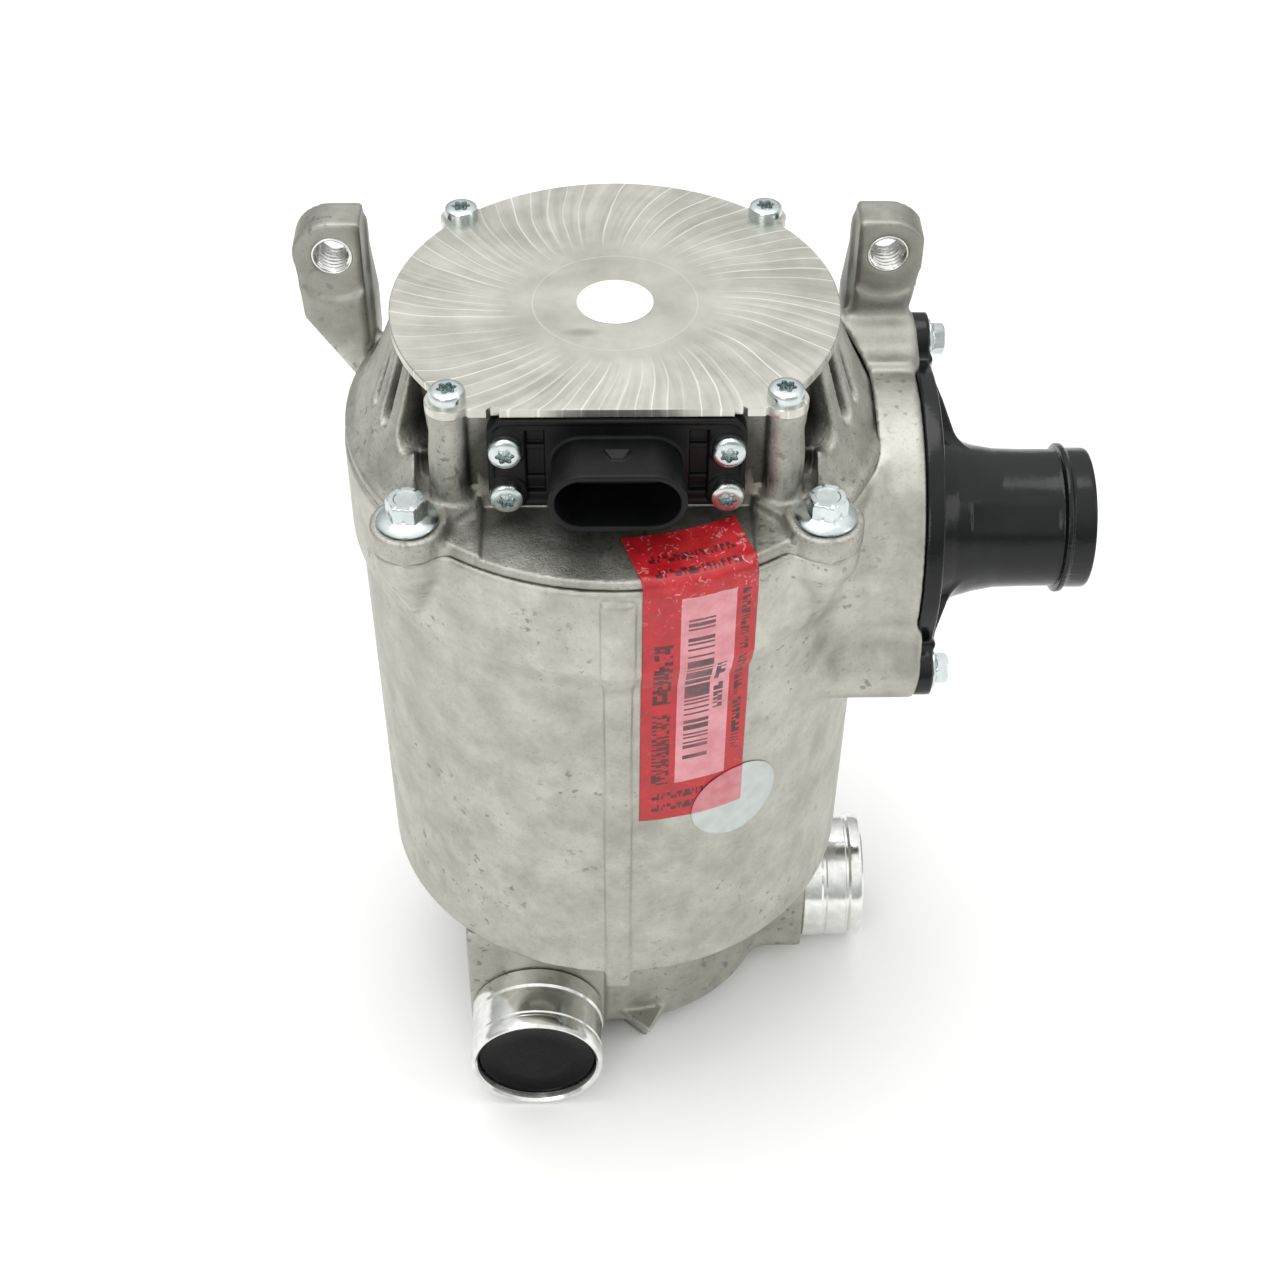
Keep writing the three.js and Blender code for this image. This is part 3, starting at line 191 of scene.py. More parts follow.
# %% Camera
LOOK_DOWN, LOOK_ASIDE, LEAN = math.radians(43.18), math.radians(-1.47), math.radians(0.57)
SENSOR_MM, LENS_MM = 36.0, 59.34
CAMERA_PLACE = (-0.0041, -0.4232, 0.5153)
forward = Vector((-math.sin(LOOK_ASIDE) * math.cos(LOOK_DOWN),
                  math.cos(LOOK_ASIDE) * math.cos(LOOK_DOWN), -math.sin(LOOK_DOWN)))
level_right = Vector((math.cos(LOOK_ASIDE), math.sin(LOOK_ASIDE), 0))
level_up = level_right.cross(forward)
right = level_right * math.cos(LEAN) + level_up * math.sin(LEAN)
up = level_up * math.cos(LEAN) - level_right * math.sin(LEAN)
camera_data = bpy.data.cameras.new("camera")
camera_data.sensor_width, camera_data.lens = SENSOR_MM, LENS_MM
camera = bpy.data.objects.new("camera", camera_data)
turn = Matrix((right, up, -forward)).transposed()
camera.matrix_world = Matrix.Translation(CAMERA_PLACE) @ turn.to_4x4()
bpy.context.scene.collection.objects.link(camera)
bpy.context.scene.camera = camera

# %% Floor, world and soft boxes
def plain_material(name, code, roughness):
    made, _, shader = bare_material(name)
    shader.inputs["Base Color"].default_value = colour(code)
    shader.inputs["Roughness"].default_value = roughness
    return made


floor_mesh = bpy.data.meshes.new("floor")
FLOOR_HALF = 6.0
floor_mesh.from_pydata([(-FLOOR_HALF, -FLOOR_HALF, 0), (FLOOR_HALF, -FLOOR_HALF, 0),
                        (FLOOR_HALF, FLOOR_HALF, 0), (-FLOOR_HALF, FLOOR_HALF, 0)], [], [(0, 1, 2, 3)])
floor_mesh.materials.append(plain_material("white_table", "#F6F6F5", 0.6))
floor = bpy.data.objects.new("floor", floor_mesh)
bpy.context.scene.collection.objects.link(floor)

world = bpy.data.worlds.new("studio")
world.use_nodes = True
bpy.context.scene.world = world
studio = world.node_tree
height = add(studio, "ShaderNodeSeparateXYZ",
             {0: add(studio, "ShaderNodeTexCoord").outputs["Generated"]}).outputs["Z"]
walls = output_of(studio, RAMP, [height], stops=[(0.0, "#9A9C9A"), (0.35, "#BFC1BF"), (0.8, "#FFFFFF")])
studio.links.new(walls, studio.nodes["Background"].inputs["Color"])
studio.nodes["Background"].inputs["Strength"].default_value = 1.2
bpy.context.scene.view_settings.view_transform = "Standard"


def soft_box(name, place, size, watts, aim=(0, 0, 0.12)):
    data = bpy.data.lights.new(name, "AREA")
    data.shape, data.size, data.size_y, data.energy = "RECTANGLE", size[0], size[1], watts
    lamp = bpy.data.objects.new(name, data)
    lamp.location = place
    lamp.rotation_euler = (Vector(aim) - Vector(place)).to_track_quat("-Z", "Y").to_euler()
    bpy.context.scene.collection.objects.link(lamp)


soft_box("overhead_box", (-0.1, 0.15, 1.3), (1.0, 0.8), 6)
soft_box("front_box", (-0.5, -1.1, 0.7), (0.6, 0.6), 3)
soft_box("side_box", (1.1, -0.3, 0.6), (0.4, 0.8), 1.5)
print("camera at", [round(v, 3) for v in camera.matrix_world.translation])

# %% [markdown]
# ## Finishes of the castings
# Both castings are die-cast aluminium, blasted and left bare. Such a skin is a rough grey metal:
# wide soft highlights, a cloudy mottle from the flow of the melt, a few dark stains from die release,
# and a grain of small pits. Colour, roughness and bump are all driven by noises whose sizes are real
# millimetres on the part, so the same recipe suits every casting. The head was cast in a coarser
# mould, so its grain is a separate strength. Shade is painted into the colour, darker where an
# attribute named hollow says a point lies deep in a hollow or out of the light.

# %% Cast aluminium
def cast_aluminium(name, grain, light, dark, shade_code):
    """Bare die-cast aluminium: rough 0.42 to 0.58, clouded, with stains, spots and pits, and shade painted
    darker where the attribute hollow is high.
    """
    made, tree, shader = bare_material(name)
    here = add(tree, "ShaderNodeTexCoord").outputs["Object"]

    def noise(size_mm, detail, roughness=0.5):
        return add(tree, "ShaderNodeTexNoise", {"Vector": here, "Scale": per_metre(size_mm), "Detail": detail,
                                                "Roughness": roughness}).outputs["Fac"]

    def over(below, share, strength, code):
        factor = output_of(tree, MATH, [share, strength], operation="MULTIPLY")
        return add(tree, "ShaderNodeMix", {"Factor": factor, "A": below, "B": colour(code)},
                   data_type="RGBA").outputs["Result"]

    cloud, fine = noise(15, 7.0, 0.72), noise(0.8, 3.0, 0.7)
    skin = output_of(tree, RAMP, [cloud], stops=[(0.36, dark), (0.62, light)])
    stains = output_of(tree, RAMP, [noise(12, 3.0, 0.55)], stops=[(0.5, "#000000"), (0.68, "#FFFFFF")])
    skin = over(skin, stains, 0.34, "#8E8F87")
    spots = output_of(tree, RAMP, [noise(2.6, 2.0)], stops=[(0.63, "#000000"), (0.68, "#FFFFFF")])
    where = output_of(tree, RAMP, [noise(30, 1.0)], stops=[(0.50, "#000000"), (0.62, "#FFFFFF")])
    spotted = output_of(tree, MATH, [spots, where], operation="MULTIPLY")
    skin = over(skin, spotted, 0.6, "#70716A")
    skin = over(skin, output_of(tree, RAMP, [fine], stops=[(0.3, "#FFFFFF"), (0.42, "#000000")]),
                0.15 + 0.5 * grain, "#6E6B64")
    # Painted shade: where the attribute hollow is high, the colour darkens towards the shade colour.
    hollow = add(tree, "ShaderNodeAttribute", attribute_name="hollow").outputs["Fac"]
    shader.inputs["Metallic"].default_value = 1.0
    relief = add(tree, MATH, [fine, grain, noise(6, 2.0)], operation="MULTIPLY_ADD")
    link_skin(tree, shader, over(skin, hollow, 0.85, shade_code), cloud, (0.42, 0.58),
              relief.outputs[0], 0.5, 0.35)
    return made


# The last colour of each casting is its painted shade, for its hollows and the places the light misses.
DIE_CAST = cast_aluminium("die_cast_aluminium", 0.3, "#C7C6BD", "#A8A79E", "#6A6963")
COARSE_CAST = cast_aluminium("coarse_cast_aluminium", 1.0, "#C0BFB7", "#9C9B93", "#34332E")
print("castings:", DIE_CAST.name, COARSE_CAST.name)

# %% [markdown]
# ## Pieces and meshes
# Every finished piece sits at the origin, with its place in its mesh, and rides on a body of the
# frame. One helper makes a mesh from arrays of points and faces, and another turns a mesh into a
# piece: its finish, the body it rides on, and the frame's nodes it stands for.

# %% Mesh and piece helpers
def mesh_from(name, points, faces):
    """A mesh from points in millimetres and faces that all have the same number of corners."""
    mesh = bpy.data.meshes.new(name)
    points = np.asarray(points, np.float32) * MM
    faces = np.asarray(faces, np.int32)
    mesh.vertices.add(len(points))
    mesh.vertices.foreach_set("co", points.ravel())
    mesh.loops.add(faces.size)
    mesh.loops.foreach_set("vertex_index", faces.ravel())
    mesh.polygons.add(len(faces))
    mesh.polygons.foreach_set("loop_start", np.arange(0, faces.size, faces.shape[1], dtype=np.int32))
    mesh.update(calc_edges=True)
    return mesh


def grid_faces(rows, columns, closed_rows=False, closed_columns=False):
    """Squares between the points of a grid. A closed side runs on from its last point to its first."""
    i, j = np.meshgrid(np.arange(rows if closed_rows else rows - 1),
                       np.arange(columns if closed_columns else columns - 1), indexing="ij")
    following, beside = (i + 1) % rows, (j + 1) % columns
    corners = [i * columns + j, i * columns + beside, following * columns + beside, following * columns + j]
    return np.dstack(corners).reshape(-1, 4)


def piece(name, mesh, finish, nodes=(), body=HOUSING):
    mesh.materials.clear()
    mesh.materials.append(finish)
    made = bpy.data.objects.new(name, mesh)
    bpy.context.scene.collection.objects.link(made)
    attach(made, body)
    if nodes:
        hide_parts(*nodes)
    return made


def refined(mesh, *modifiers):
    """The mesh with modifiers applied. Each one is a kind and its settings."""
    carrier = bpy.data.objects.new("carrier", mesh)
    bpy.context.scene.collection.objects.link(carrier)
    for kind, settings in modifiers:
        modifier = carrier.modifiers.new(kind.lower(), kind)
        for key, value in settings.items():
            setattr(modifier, key, value)
    evaluated = carrier.evaluated_get(bpy.context.evaluated_depsgraph_get())
    made = bpy.data.meshes.new_from_object(evaluated)
    bpy.data.objects.remove(carrier)
    return made


# %% [markdown]
# ## Castings as fields of distances
# In a real casting every wall runs into the next with a small radius, because the melt can't fill a
# sharp corner, and only a cutter leaves a crisp edge. Bevels on so many meeting shapes would fail.
# So each casting is a grid of distances to its skin. The smaller of two distances joins two shapes,
# and a smooth minimum leaves a fillet of a chosen size where they meet. OpenVDB then finds the
# surface where the distance is zero, and Decimate drops the triangles that flat walls don't need.

# %% A casting's field of distances
def join(a, b, fillet=0.0):
    """The union of two shapes, with a fillet in millimetres where they meet."""
    if not fillet:
        return np.minimum(a, b)
    return np.minimum(a, b) - np.maximum(fillet - np.abs(a - b), 0) ** 2 / (4 * fillet)


def common(a, b, edge=0.0):
    """What two shapes share, with its outer edges rounded."""
    return -join(-a, -b, edge)


def slab(along, low, high):
    return np.maximum(low - along, along - high)


def rod(u, v, along, radius, low, high, edge=0.0):
    """A round bar. The radius is a number, or an array that changes along the bar."""
    return common(np.hypot(u, v) - radius, slab(along, low, high), edge)


def polygon(u, v, corners):
    """Distance to a closed polygon in the plane of u and v."""
    shape = np.broadcast(u, v).shape
    nearest = np.full(shape, np.inf, np.float32)
    inside = np.zeros(shape, bool)
    for (u0, v0), (u1, v1) in zip(corners, corners[1:] + corners[:1]):
        du, dv = u1 - u0, v1 - v0
        pu, pv = u - u0, v - v0
        share = np.clip((pu * du + pv * dv) / (du * du + dv * dv), 0, 1)
        nearest = np.minimum(nearest, (pu - share * du) ** 2 + (pv - share * dv) ** 2)
        if dv:
            inside ^= ((v0 > v) != (v1 > v)) & (pu < du * pv / dv)
    return np.where(inside, -1, 1) * np.sqrt(nearest)


class Casting:
    """Distances to the metal's skin on a grid, in millimetres: negative inside the metal."""

    def __init__(self, low, high, step):
        axes = [np.arange(a - 2.5 * step, b + 2.5 * step, step, dtype=np.float32)
                for a, b in zip(low, high)]
        self.x, self.y, self.z = np.meshgrid(*axes, indexing="ij", sparse=True)
        self.start = np.array([axis[0] for axis in axes])
        self.step = step
        self.metal = np.full([len(axis) for axis in axes], 1000.0, np.float32)

    def fill(self, shape, fillet=0.0):
        self.metal = join(self.metal, shape, fillet)

    def cut(self, shape, fillet=0.0):
        self.metal = -join(-self.metal, shape, fillet)

    def pour(self, name, triangles):
        """The skin as a smooth mesh of about that many triangles."""
        band = 3.0
        grid = openvdb.FloatGrid(band)
        grid.copyFromArray(np.clip(self.metal / self.step, -band, band).astype(np.float32))
        points, _, quads = grid.convertToPolygons(isovalue=0.0, adaptivity=0.0)
        mesh = mesh_from(name, points * self.step + self.start, quads[:, ::-1])
        share = min(1.0, triangles / (2 * len(quads)))
        made = refined(mesh, ("DECIMATE", {"ratio": share}))
        made.shade_smooth()
        made.name = name
        print(name, "from", 2 * len(quads), "to", sum(len(p.vertices) - 2 for p in made.polygons),
              "triangles")
        return made


def four(half):
    """The corners of a square pattern: front left, front right, back right, back left."""
    return [(-half, -half), (half, -half), (half, half), (-half, half)]


def turned_about(x, y, degrees):
    """Coordinates in a frame that is turned about the axis."""
    c, s = math.cos(math.radians(degrees)), math.sin(math.radians(degrees))
    return x * c + y * s, y * c - x * s


# %% [markdown]
# ## The electronics head
# The head is a low dome on a round flange. Its front is cut flat for the connector, four posts carry
# the lid's screws, and bosses in the corners take the bolts. Raised platforms run from the front
# bosses to the connector's corners. Deep fin pockets with round bottoms follow each other round both
# sides. The metal beside each front post is cut away as a narrow dark slot.

# %% The head's dome and its pockets
HEAD_FLANGE, HEAD_TOP = 66.6, 53.0
FRONT_WALL = 39.2
POCKET_BOTTOM = PARTING + 13.5
# Each pocket's angle from the side towards the front, its width, its floor's radius and its lean.
POCKETS = ((33, 8.6, 49.4, 9), (21.5, 5.2, 51.0, 11), (13.0, 3.6, 53.0, 12), (-16, 6.0, 52.0, 0),
           (-30, 6.0, 51.0, 0))


def dome_radius(z):
    """The head's radius at a height: straight up the flange, then in to the lid."""
    up_share = np.clip((z - HEAD_SHELF) / (LID_SEAT - HEAD_SHELF), 0, 1)
    return HEAD_FLANGE - 0.8 - (HEAD_FLANGE - 0.8 - HEAD_TOP) * up_share ** 0.8


def fin_pocket(part, angle, width, floor, lean):
    """A slot between two fins, round at its bottom. The angle is from +X, and the slot leans."""
    out, across = turned_about(part.x, part.y, angle)
    height = part.z - POCKET_BOTTOM
    across = across + math.tan(math.radians(lean)) * height
    below = np.minimum(height - width / 2, 0)
    return common(np.hypot(across, below) - width / 2, floor - out, 1.2)


def electronics_head():
    part = Casting((-68, -68, PARTING - 6.5), (68, 68, LID_SEAT + 0.5), 0.6)
    x, y, z = part.x, part.y, part.z
    flange = rod(x, y, z, HEAD_FLANGE, PARTING, HEAD_SHELF, 1.0)
    dome = common((np.hypot(x, y) - dome_radius(z)) * 0.87, slab(z, HEAD_SHELF - 1.5, LID_SEAT), 0.8)
    dome = common(dome, -FRONT_WALL - y, 1.2)
    part.fill(flange)
    part.fill(dome, 2.5)
    for cx, cy in four(BOLT):
        part.fill(rod(x - cx, y - cy, z, 9.0, PARTING, BOLT_SEAT, 0.8), 3.0)
    for side in (-1, 1):
        platform = polygon(x * side, y, [(54, -40), (49, -57.5), (32, -41), (32, -38), (44, -34)])
        part.fill(common(platform, slab(z, PARTING, BOLT_SEAT - 0.4), 1.0), 1.6)
        rib = polygon(x * side, y, [(50, 54), (55, 46), (41, 34), (36, 40)])
        part.fill(common(rib, slab(z, PARTING, BOLT_SEAT - 0.4), 1.0), 2.0)

    # The pockets on both sides, wide to narrow, and the slot beside each front post.
    for side in (-1, 1):
        for angle, width, floor, lean in POCKETS:
            from_x = 180 + angle if side < 0 else -angle
            part.cut(fin_pocket(part, from_x, width, floor, -lean * side), 0.8)
        beside_post = polygon(x * side, y, [(43.4, -60), (47.8, -60), (46.6, -31), (43.4, -33)])
        part.cut(np.maximum(beside_post, BOLT_SEAT - z), 0.8)
    for cx, cy in four(BOLT):
        part.cut(rod(x - cx, y - cy, z, 8.6, BOLT_SEAT, LID_SEAT + 2), 0.6)
    for cx, cy in four(POST):
        part.fill(rod(x - cx, y - cy, z, 4.7, HEAD_SHELF - 1, LID_SEAT, 0.3), 1.4)

    # The shallow hollows and the flat spots that the pattern maker left on the front wall.
    for side in (-1, 1):
        groove = rod(x * side - 33.2, y + FRONT_WALL + 1.0, z, 1.2, BOLT_SEAT + 2, LID_SEAT + 1)
        part.cut(groove, 0.6)
    shelf = common(np.abs(x) - 31.5, slab(z, HEAD_SHELF - 0.8, HEAD_SHELF + 2), 0.5)
    part.cut(common(shelf, y + FRONT_WALL, 0.3), 0.5)

    # The cavity for the electronics, the window for the connector, and the open underside.
    wall_plane = -FRONT_WALL + 4.0
    cavity = common(rod(x, y, z, 48.2, HEAD_SHELF + 0.4, LID_SEAT + 3), wall_plane - y, 2.0)
    for cx, cy in four(POST)[2:]:
        cavity = np.maximum(cavity, 4.7 - np.hypot(x - cx, y - cy))
    part.cut(cavity, 0.3)
    window = np.maximum(np.abs(x) - 12.5, np.abs(z - CONNECTOR_LEVEL) - 6.0)
    part.cut(np.maximum(window, slab(y, -FRONT_WALL - 2, -FRONT_WALL + 6)))
    part.fill(np.maximum(rod(x, y, z, 59.0, PARTING - 6, PARTING + 1), 54.0 - np.hypot(x, y)))
    for cx, cy in four(POST):
        part.cut(rod(x - cx, y - cy, z, SCREW_HOLE, LID_SEAT - 14, LID_SEAT + 2))
    for cx, cy in four(BOLT):
        part.cut(rod(x - cx, y - cy, z, BOLT_HOLE, PARTING - 2, BOLT_SEAT + 2))
    return part


head_mesh = electronics_head().pour("head_casting", 150000)


def mark_painted_shade(mesh, depth_of):
    """Stores how much painted shade each point gets, from 0 to 1, in the attribute hollow."""
    points = np.empty(len(mesh.vertices) * 3, np.float32)
    mesh.vertices.foreach_get("co", points)
    x, y, z = points.reshape(-1, 3).T / MM
    attribute = mesh.attributes.new("hollow", "FLOAT", "POINT")
    attribute.data.foreach_set("value", np.clip(depth_of(x, y, z), 0, 1).astype(np.float32))


def head_painted_shade(x, y, z):
    """Painted shade deep in the fin pockets, beside the posts and on the front shelf."""
    below_dome = (dome_radius(z) - np.hypot(x, y) - 0.8) / 5
    in_pocket = np.where((z > POCKET_BOTTOM - 4) & (y > -44), below_dome, 0)
    shelf = np.where((y < -FRONT_WALL - 0.5) & (np.abs(x) < 33) & (z < HEAD_SHELF + 3), 0.15 + (62 + y) / 45,
                     0)
    return np.maximum(in_pocket, shelf)


mark_painted_shade(head_mesh, head_painted_shade)
piece("head_casting", head_mesh, COARSE_CAST, ["electronics_housing"])

# %% [markdown]
# ## The motor housing
# The motor housing is one tall casting. Its sides taper a little so that it leaves the mould, its
# rim is a step wider, and a rib runs down its front where the two halves of the mould met. A round
# plenum with three lugs stands out to the side for the intake. Two ears with threaded holes hang
# the machine from its bracket. Their faces are milled, which leaves a curved step in each web.

# %% The motor housing's outside
RIM_BOTTOM = PARTING - 26.0
BODY_FOOT, BODY_SHOULDER, BODY_RIM = 64.2, 65.5, 67.4
MOTOR_BORE = 59.2


def body_radius(z):
    """The motor housing's radius at a height."""
    return np.interp(z, [VOLUTE_TOP, RIM_BOTTOM - 6, RIM_BOTTOM, PARTING],
                     [BODY_FOOT, BODY_SHOULDER, BODY_RIM, BODY_RIM]).astype(np.float32)


def ear_outline(side):
    """The ear seen from the front: flat on top, round outside, with its web down to the casting."""
    def place_x(out):
        return EAR_CENTRE + side * (EAR_HALF_SPACING + out)
    top = EAR_LEVEL + EAR_RADIUS
    rounded = [(place_x(10 * math.cos(a)), EAR_LEVEL + EAR_RADIUS * math.sin(a))
               for a in np.linspace(math.pi / 2, 0, 9)]
    if side < 0:
        foot = [(place_x(8.6), PARTING + 20.5), (place_x(8.2), PARTING + 13.5), (place_x(-3), PARTING - 4)]
    else:
        foot = [(place_x(7.6), PARTING + 21.5), (place_x(5.4), PARTING + 9.5), (place_x(4.6), PARTING + 0.5)]
    inner = [(place_x(-13), PARTING - 11), (place_x(-13), PARTING), (place_x(-7.4), PARTING + 2)]
    return [(place_x(-7.4), top), *rounded, *foot, *inner]


def add_ear(part, side):
    x, y, z = part.x, part.y, part.z
    back = EAR_FACE + EAR_THICKNESS
    outline = polygon(x, z, ear_outline(side))
    ear = common(outline, slab(y, EAR_FACE, back), 0.8)
    hole_x = EAR_CENTRE + side * EAR_HALF_SPACING
    web = common(outline, slab(y, EAR_FACE - 1.2, back - 2), 0.8)
    milled = np.minimum(np.hypot(x - hole_x, z - EAR_LEVEL) - 12.0, EAR_LEVEL - 2.0 - z)
    web = common(web, -milled, 0.5)
    inner = abs(EAR_CENTRE + side * (EAR_HALF_SPACING - 7.4))
    gusset = polygon(y, z, [(back - 2, PARTING - 8), (back + 16, PARTING - 8),
                            (back + 16, PARTING + 6), (back - 1, EAR_LEVEL + 5), (back - 2, EAR_LEVEL + 5)])
    gusset = common(gusset, slab(x * side, inner - 0.5, inner + 3.5), 0.8)
    part.fill(join(join(ear, web, 1.0), gusset, 2.5), 2.5)
    part.cut(rod(x - hole_x, z - EAR_LEVEL, y, 4.55, EAR_FACE - 5, back + 5), 0.5)


def motor_housing():
    part = Casting((-80, -69.5, VOLUTE_TOP - 4.6), (PLENUM_FACE, 69, EAR_LEVEL + EAR_RADIUS), 0.85)
    x, y, z = part.x, part.y, part.z
    radius = body_radius(z)
    part.fill(rod(x, y, z, radius, VOLUTE_TOP, PARTING, 1.4))
    column = np.interp(z, [PARTING - 22, PARTING - 6, PARTING], [1.0, 8.5, 8.7]).astype(np.float32)
    for cx, cy in four(BOLT):
        part.fill(rod(x - cx, y - cy, z, column, PARTING - 22, PARTING, 0.6), 3.5)

    # The plenum, its three lugs and the foot that the right ear stands on.
    level = z - PLENUM_LEVEL
    plenum = rod(y, level, x, 38.3, 30, PLENUM_FACE, 0.9)
    for ly, lz in LUGS:
        lug = rod(y - ly, level - lz, x, 7.2, 48, PLENUM_FACE, 0.9)
        root = rod(y - 0.86 * ly, level - 0.86 * lz, x, 10.0, 48, PLENUM_FACE, 0.9)
        plenum = join(plenum, join(lug, root, 6.0), 6.0)
    part.fill(plenum, 4.0)
    foot = common(slab(x, PLENUM_FACE - 13.2, PLENUM_FACE), slab(y, EAR_FACE - 15.8, EAR_FACE + 6.5), 1.5)
    part.fill(common(foot, slab(z, PARTING - 5.5, PARTING + 8.8), 1.5), 2.0)

    # The rib down the front, wider for its first stretch under the rim.
    rib_front = radius + 1.25
    for half, low, high, proud in ((3.4, VOLUTE_TOP - 4.5, PARTING - 3.0, 0.0),
                                   (2.5, VOLUTE_TOP - 4, PARTING - 4, 0.25),
                                   (4.0, RIM_BOTTOM - 4, PARTING - 3.0, -0.35)):
        rib = np.maximum(np.abs(x) - half, -rib_front - proud - y)
        part.fill(common(np.maximum(rib, y + 50), slab(z, low, high), 0.3), 0.5)
    for side in (-1, 1):
        add_ear(part, side)

    # A round ejector mark on the plenum.
    part.cut(rod(y + 31.0, level + 22.0, x, 2.6, PLENUM_FACE - 30, PLENUM_FACE + 2), 0.3)
    return part


def hollow_out(part):
    """The motor's bore, its floor and windows, the plenum's hollow, and the room for the head."""
    x, y, z = part.x, part.y, part.z
    room = common((np.hypot(x, y) - dome_radius(z) - 0.6) * 0.87, PARTING - z)
    for cx, cy in four(BOLT):
        room = join(room, rod(x - cx, y - cy, z, 9.7, PARTING, BOLT_SEAT + 12))
    part.cut(room, 0.8)
    floor_top = VOLUTE_TOP + 17.0
    part.cut(rod(x, y, z, MOTOR_BORE, floor_top, PARTING + 3), 0.5)
    part.cut(rod(x, y, z, 58.4, VOLUTE_TOP - 8, VOLUTE_TOP + 5.4))
    part.cut(rod(x, y, z, 42.5, VOLUTE_TOP, VOLUTE_TOP + 9))
    part.fill(rod(x, y, z, 18.0, VOLUTE_TOP + 9, floor_top + 12), 1.0)
    part.cut(rod(x, y, z, 13.0, VOLUTE_TOP + 11, PARTING))
    part.cut(rod(x, y, z, 7.0, VOLUTE_TOP, PARTING))
    for degrees in (45, 135, 225, 315):
        out, across = turned_about(x, y, degrees)
        window = np.maximum(slab(out, 23, 40), np.abs(across) - 11.5)
        part.cut(np.maximum(window, slab(z, VOLUTE_TOP + 8, floor_top + 1)), 1.0)
    for degrees in range(30, 390, 60):
        out, across = turned_about(x, y, degrees)
        rib = np.maximum(slab(out, 52.2, 60), np.abs(across) - 4)
        part.fill(np.maximum(rib, slab(z, floor_top - 1, PARTING - 33.5)), 1.0)
    duct = rod(y, z - PLENUM_LEVEL, x, 33.3, 44, PLENUM_FACE + 3)
    duct = np.maximum(duct, z - PARTING + 9)
    part.cut(np.maximum(duct, MOTOR_BORE - np.hypot(x, y)), 0.5)
    for ly, lz in LUGS:
        part.cut(rod(y - ly, z - PLENUM_LEVEL - lz, x, SCREW_HOLE, PLENUM_FACE - 11, PLENUM_FACE + 3))


# %% Pour the motor housing
housing_part = motor_housing()
hollow_out(housing_part)
housing_mesh = housing_part.pour("motor_housing_casting", 180000)


def housing_painted_shade(x, y, z):
    """Painted shade on the ears and at the housing's foot, where it meets the volute; the body is a little
    darker below its rim.
    """
    on_ear = np.clip((z - PARTING - 2) / 8, 0, 1) * np.where(np.abs(x) > 58, 0.5, 0)
    under = np.where(z < VOLUTE_TOP + 1, 0.3, 0)
    below_rim = np.clip((RIM_BOTTOM + 0.5 - z) * 2, 0, 1) * 0.10
    return np.maximum(np.maximum(on_ear, under), below_rim)


mark_painted_shade(housing_mesh, housing_painted_shade)
piece("motor_housing_casting", housing_mesh, DIE_CAST, ["motor_housing"])

# %% [markdown]
# ## The volute
# The volute hangs under the motor and gathers what the impeller throws out. Two arms carry the hose
# outlets, and short feet under its floor keep it off the table. It is cast like the housing, so it
# is made in the same way.

# %% Pour the volute
VOLUTE_RADIUS, VOLUTE_FLOOR = 45.5, 6.0
OUTLET_BORE, OUTLET_SOCKET = 16.6, 17.75


def outlet_arm(across, level, along, face):
    """An arm with flat sides and top and a chamfered belly, which ends at the outlet's face."""
    half = 19.4
    top = VOLUTE_TOP - OUTLET_LEVEL
    low = 0.5 - OUTLET_LEVEL
    outline = polygon(across, level, [(half, low + 8), (half, top), (-half, top), (-half, low + 8),
                                      (8 - half, low), (half - 8, low)])
    return common(outline, slab(along, 0, face), 1.2)


def volute():
    part = Casting((-47, -51, 0), (57, 58.5, VOLUTE_TOP + VOLUTE_COLLAR), 0.8)
    x, y, z = part.x, part.y, part.z
    level = z - OUTLET_LEVEL
    arms = ((x - FRONT_OUTLET_X, -y, FRONT_FACE), (y, x, SIDE_FACE))
    part.fill(rod(x, y, z, VOLUTE_RADIUS, VOLUTE_FLOOR, VOLUTE_TOP, 2.0))
    for across, along, face in arms:
        part.fill(outlet_arm(across, level, along, face), 3.0)
    part.fill(rod(x, y, z, 58.0, VOLUTE_TOP, VOLUTE_TOP + VOLUTE_COLLAR, 0.4))

    # Three blunt feet at the edge of the floor, and a low boss in its middle.
    for degrees in (-80, 40, 160):
        out, across = turned_about(x, y, degrees)
        half = np.interp(z, [0, 3, 12], [4.2, 4.8, 8.5]).astype(np.float32)
        foot = 0.8 * np.abs(across) + 0.6 * np.abs(out - 40.5) - half
        part.fill(common(foot, slab(z, 0.25, 12), 0.4), 1.0)
    boss = np.interp(z, [0, 7], [11.0, 14.0]).astype(np.float32)
    part.fill(rod(x, y, z, boss, 0.25, 7, 0.6), 1.5)

    # The chamber, the bore and socket of each arm, and the counterbores for the bolts.
    part.cut(rod(x, y, z, 40.5, VOLUTE_FLOOR + 3, VOLUTE_TOP + 6), 0.5)
    part.cut(rod(x, y, z, 43.8, VOLUTE_TOP + 1, VOLUTE_TOP + 6))
    for across, along, face in arms:
        part.cut(rod(across, level, along, OUTLET_BORE, 24, face + 3))
        part.cut(rod(across, level, along, OUTLET_SOCKET, face - 7.3, face + 3))
    for degrees in (30, 150, 270):
        out, across = turned_about(x, y, degrees)
        part.cut(rod(out - 51.5, across, z, 6.4, VOLUTE_TOP - 12, VOLUTE_TOP))
        part.cut(rod(out - 51.5, across, z, 2.9, VOLUTE_TOP - 2, VOLUTE_TOP + 7))
    return part


volute_mesh = volute().pour("volute_casting", 90000)
# The whole volute is darkened evenly, by a quarter of the full shade.
mark_painted_shade(volute_mesh, lambda x, y, z: np.full_like(z, 0.25))
piece("volute_casting", volute_mesh, DIE_CAST, ["volute_housing"])

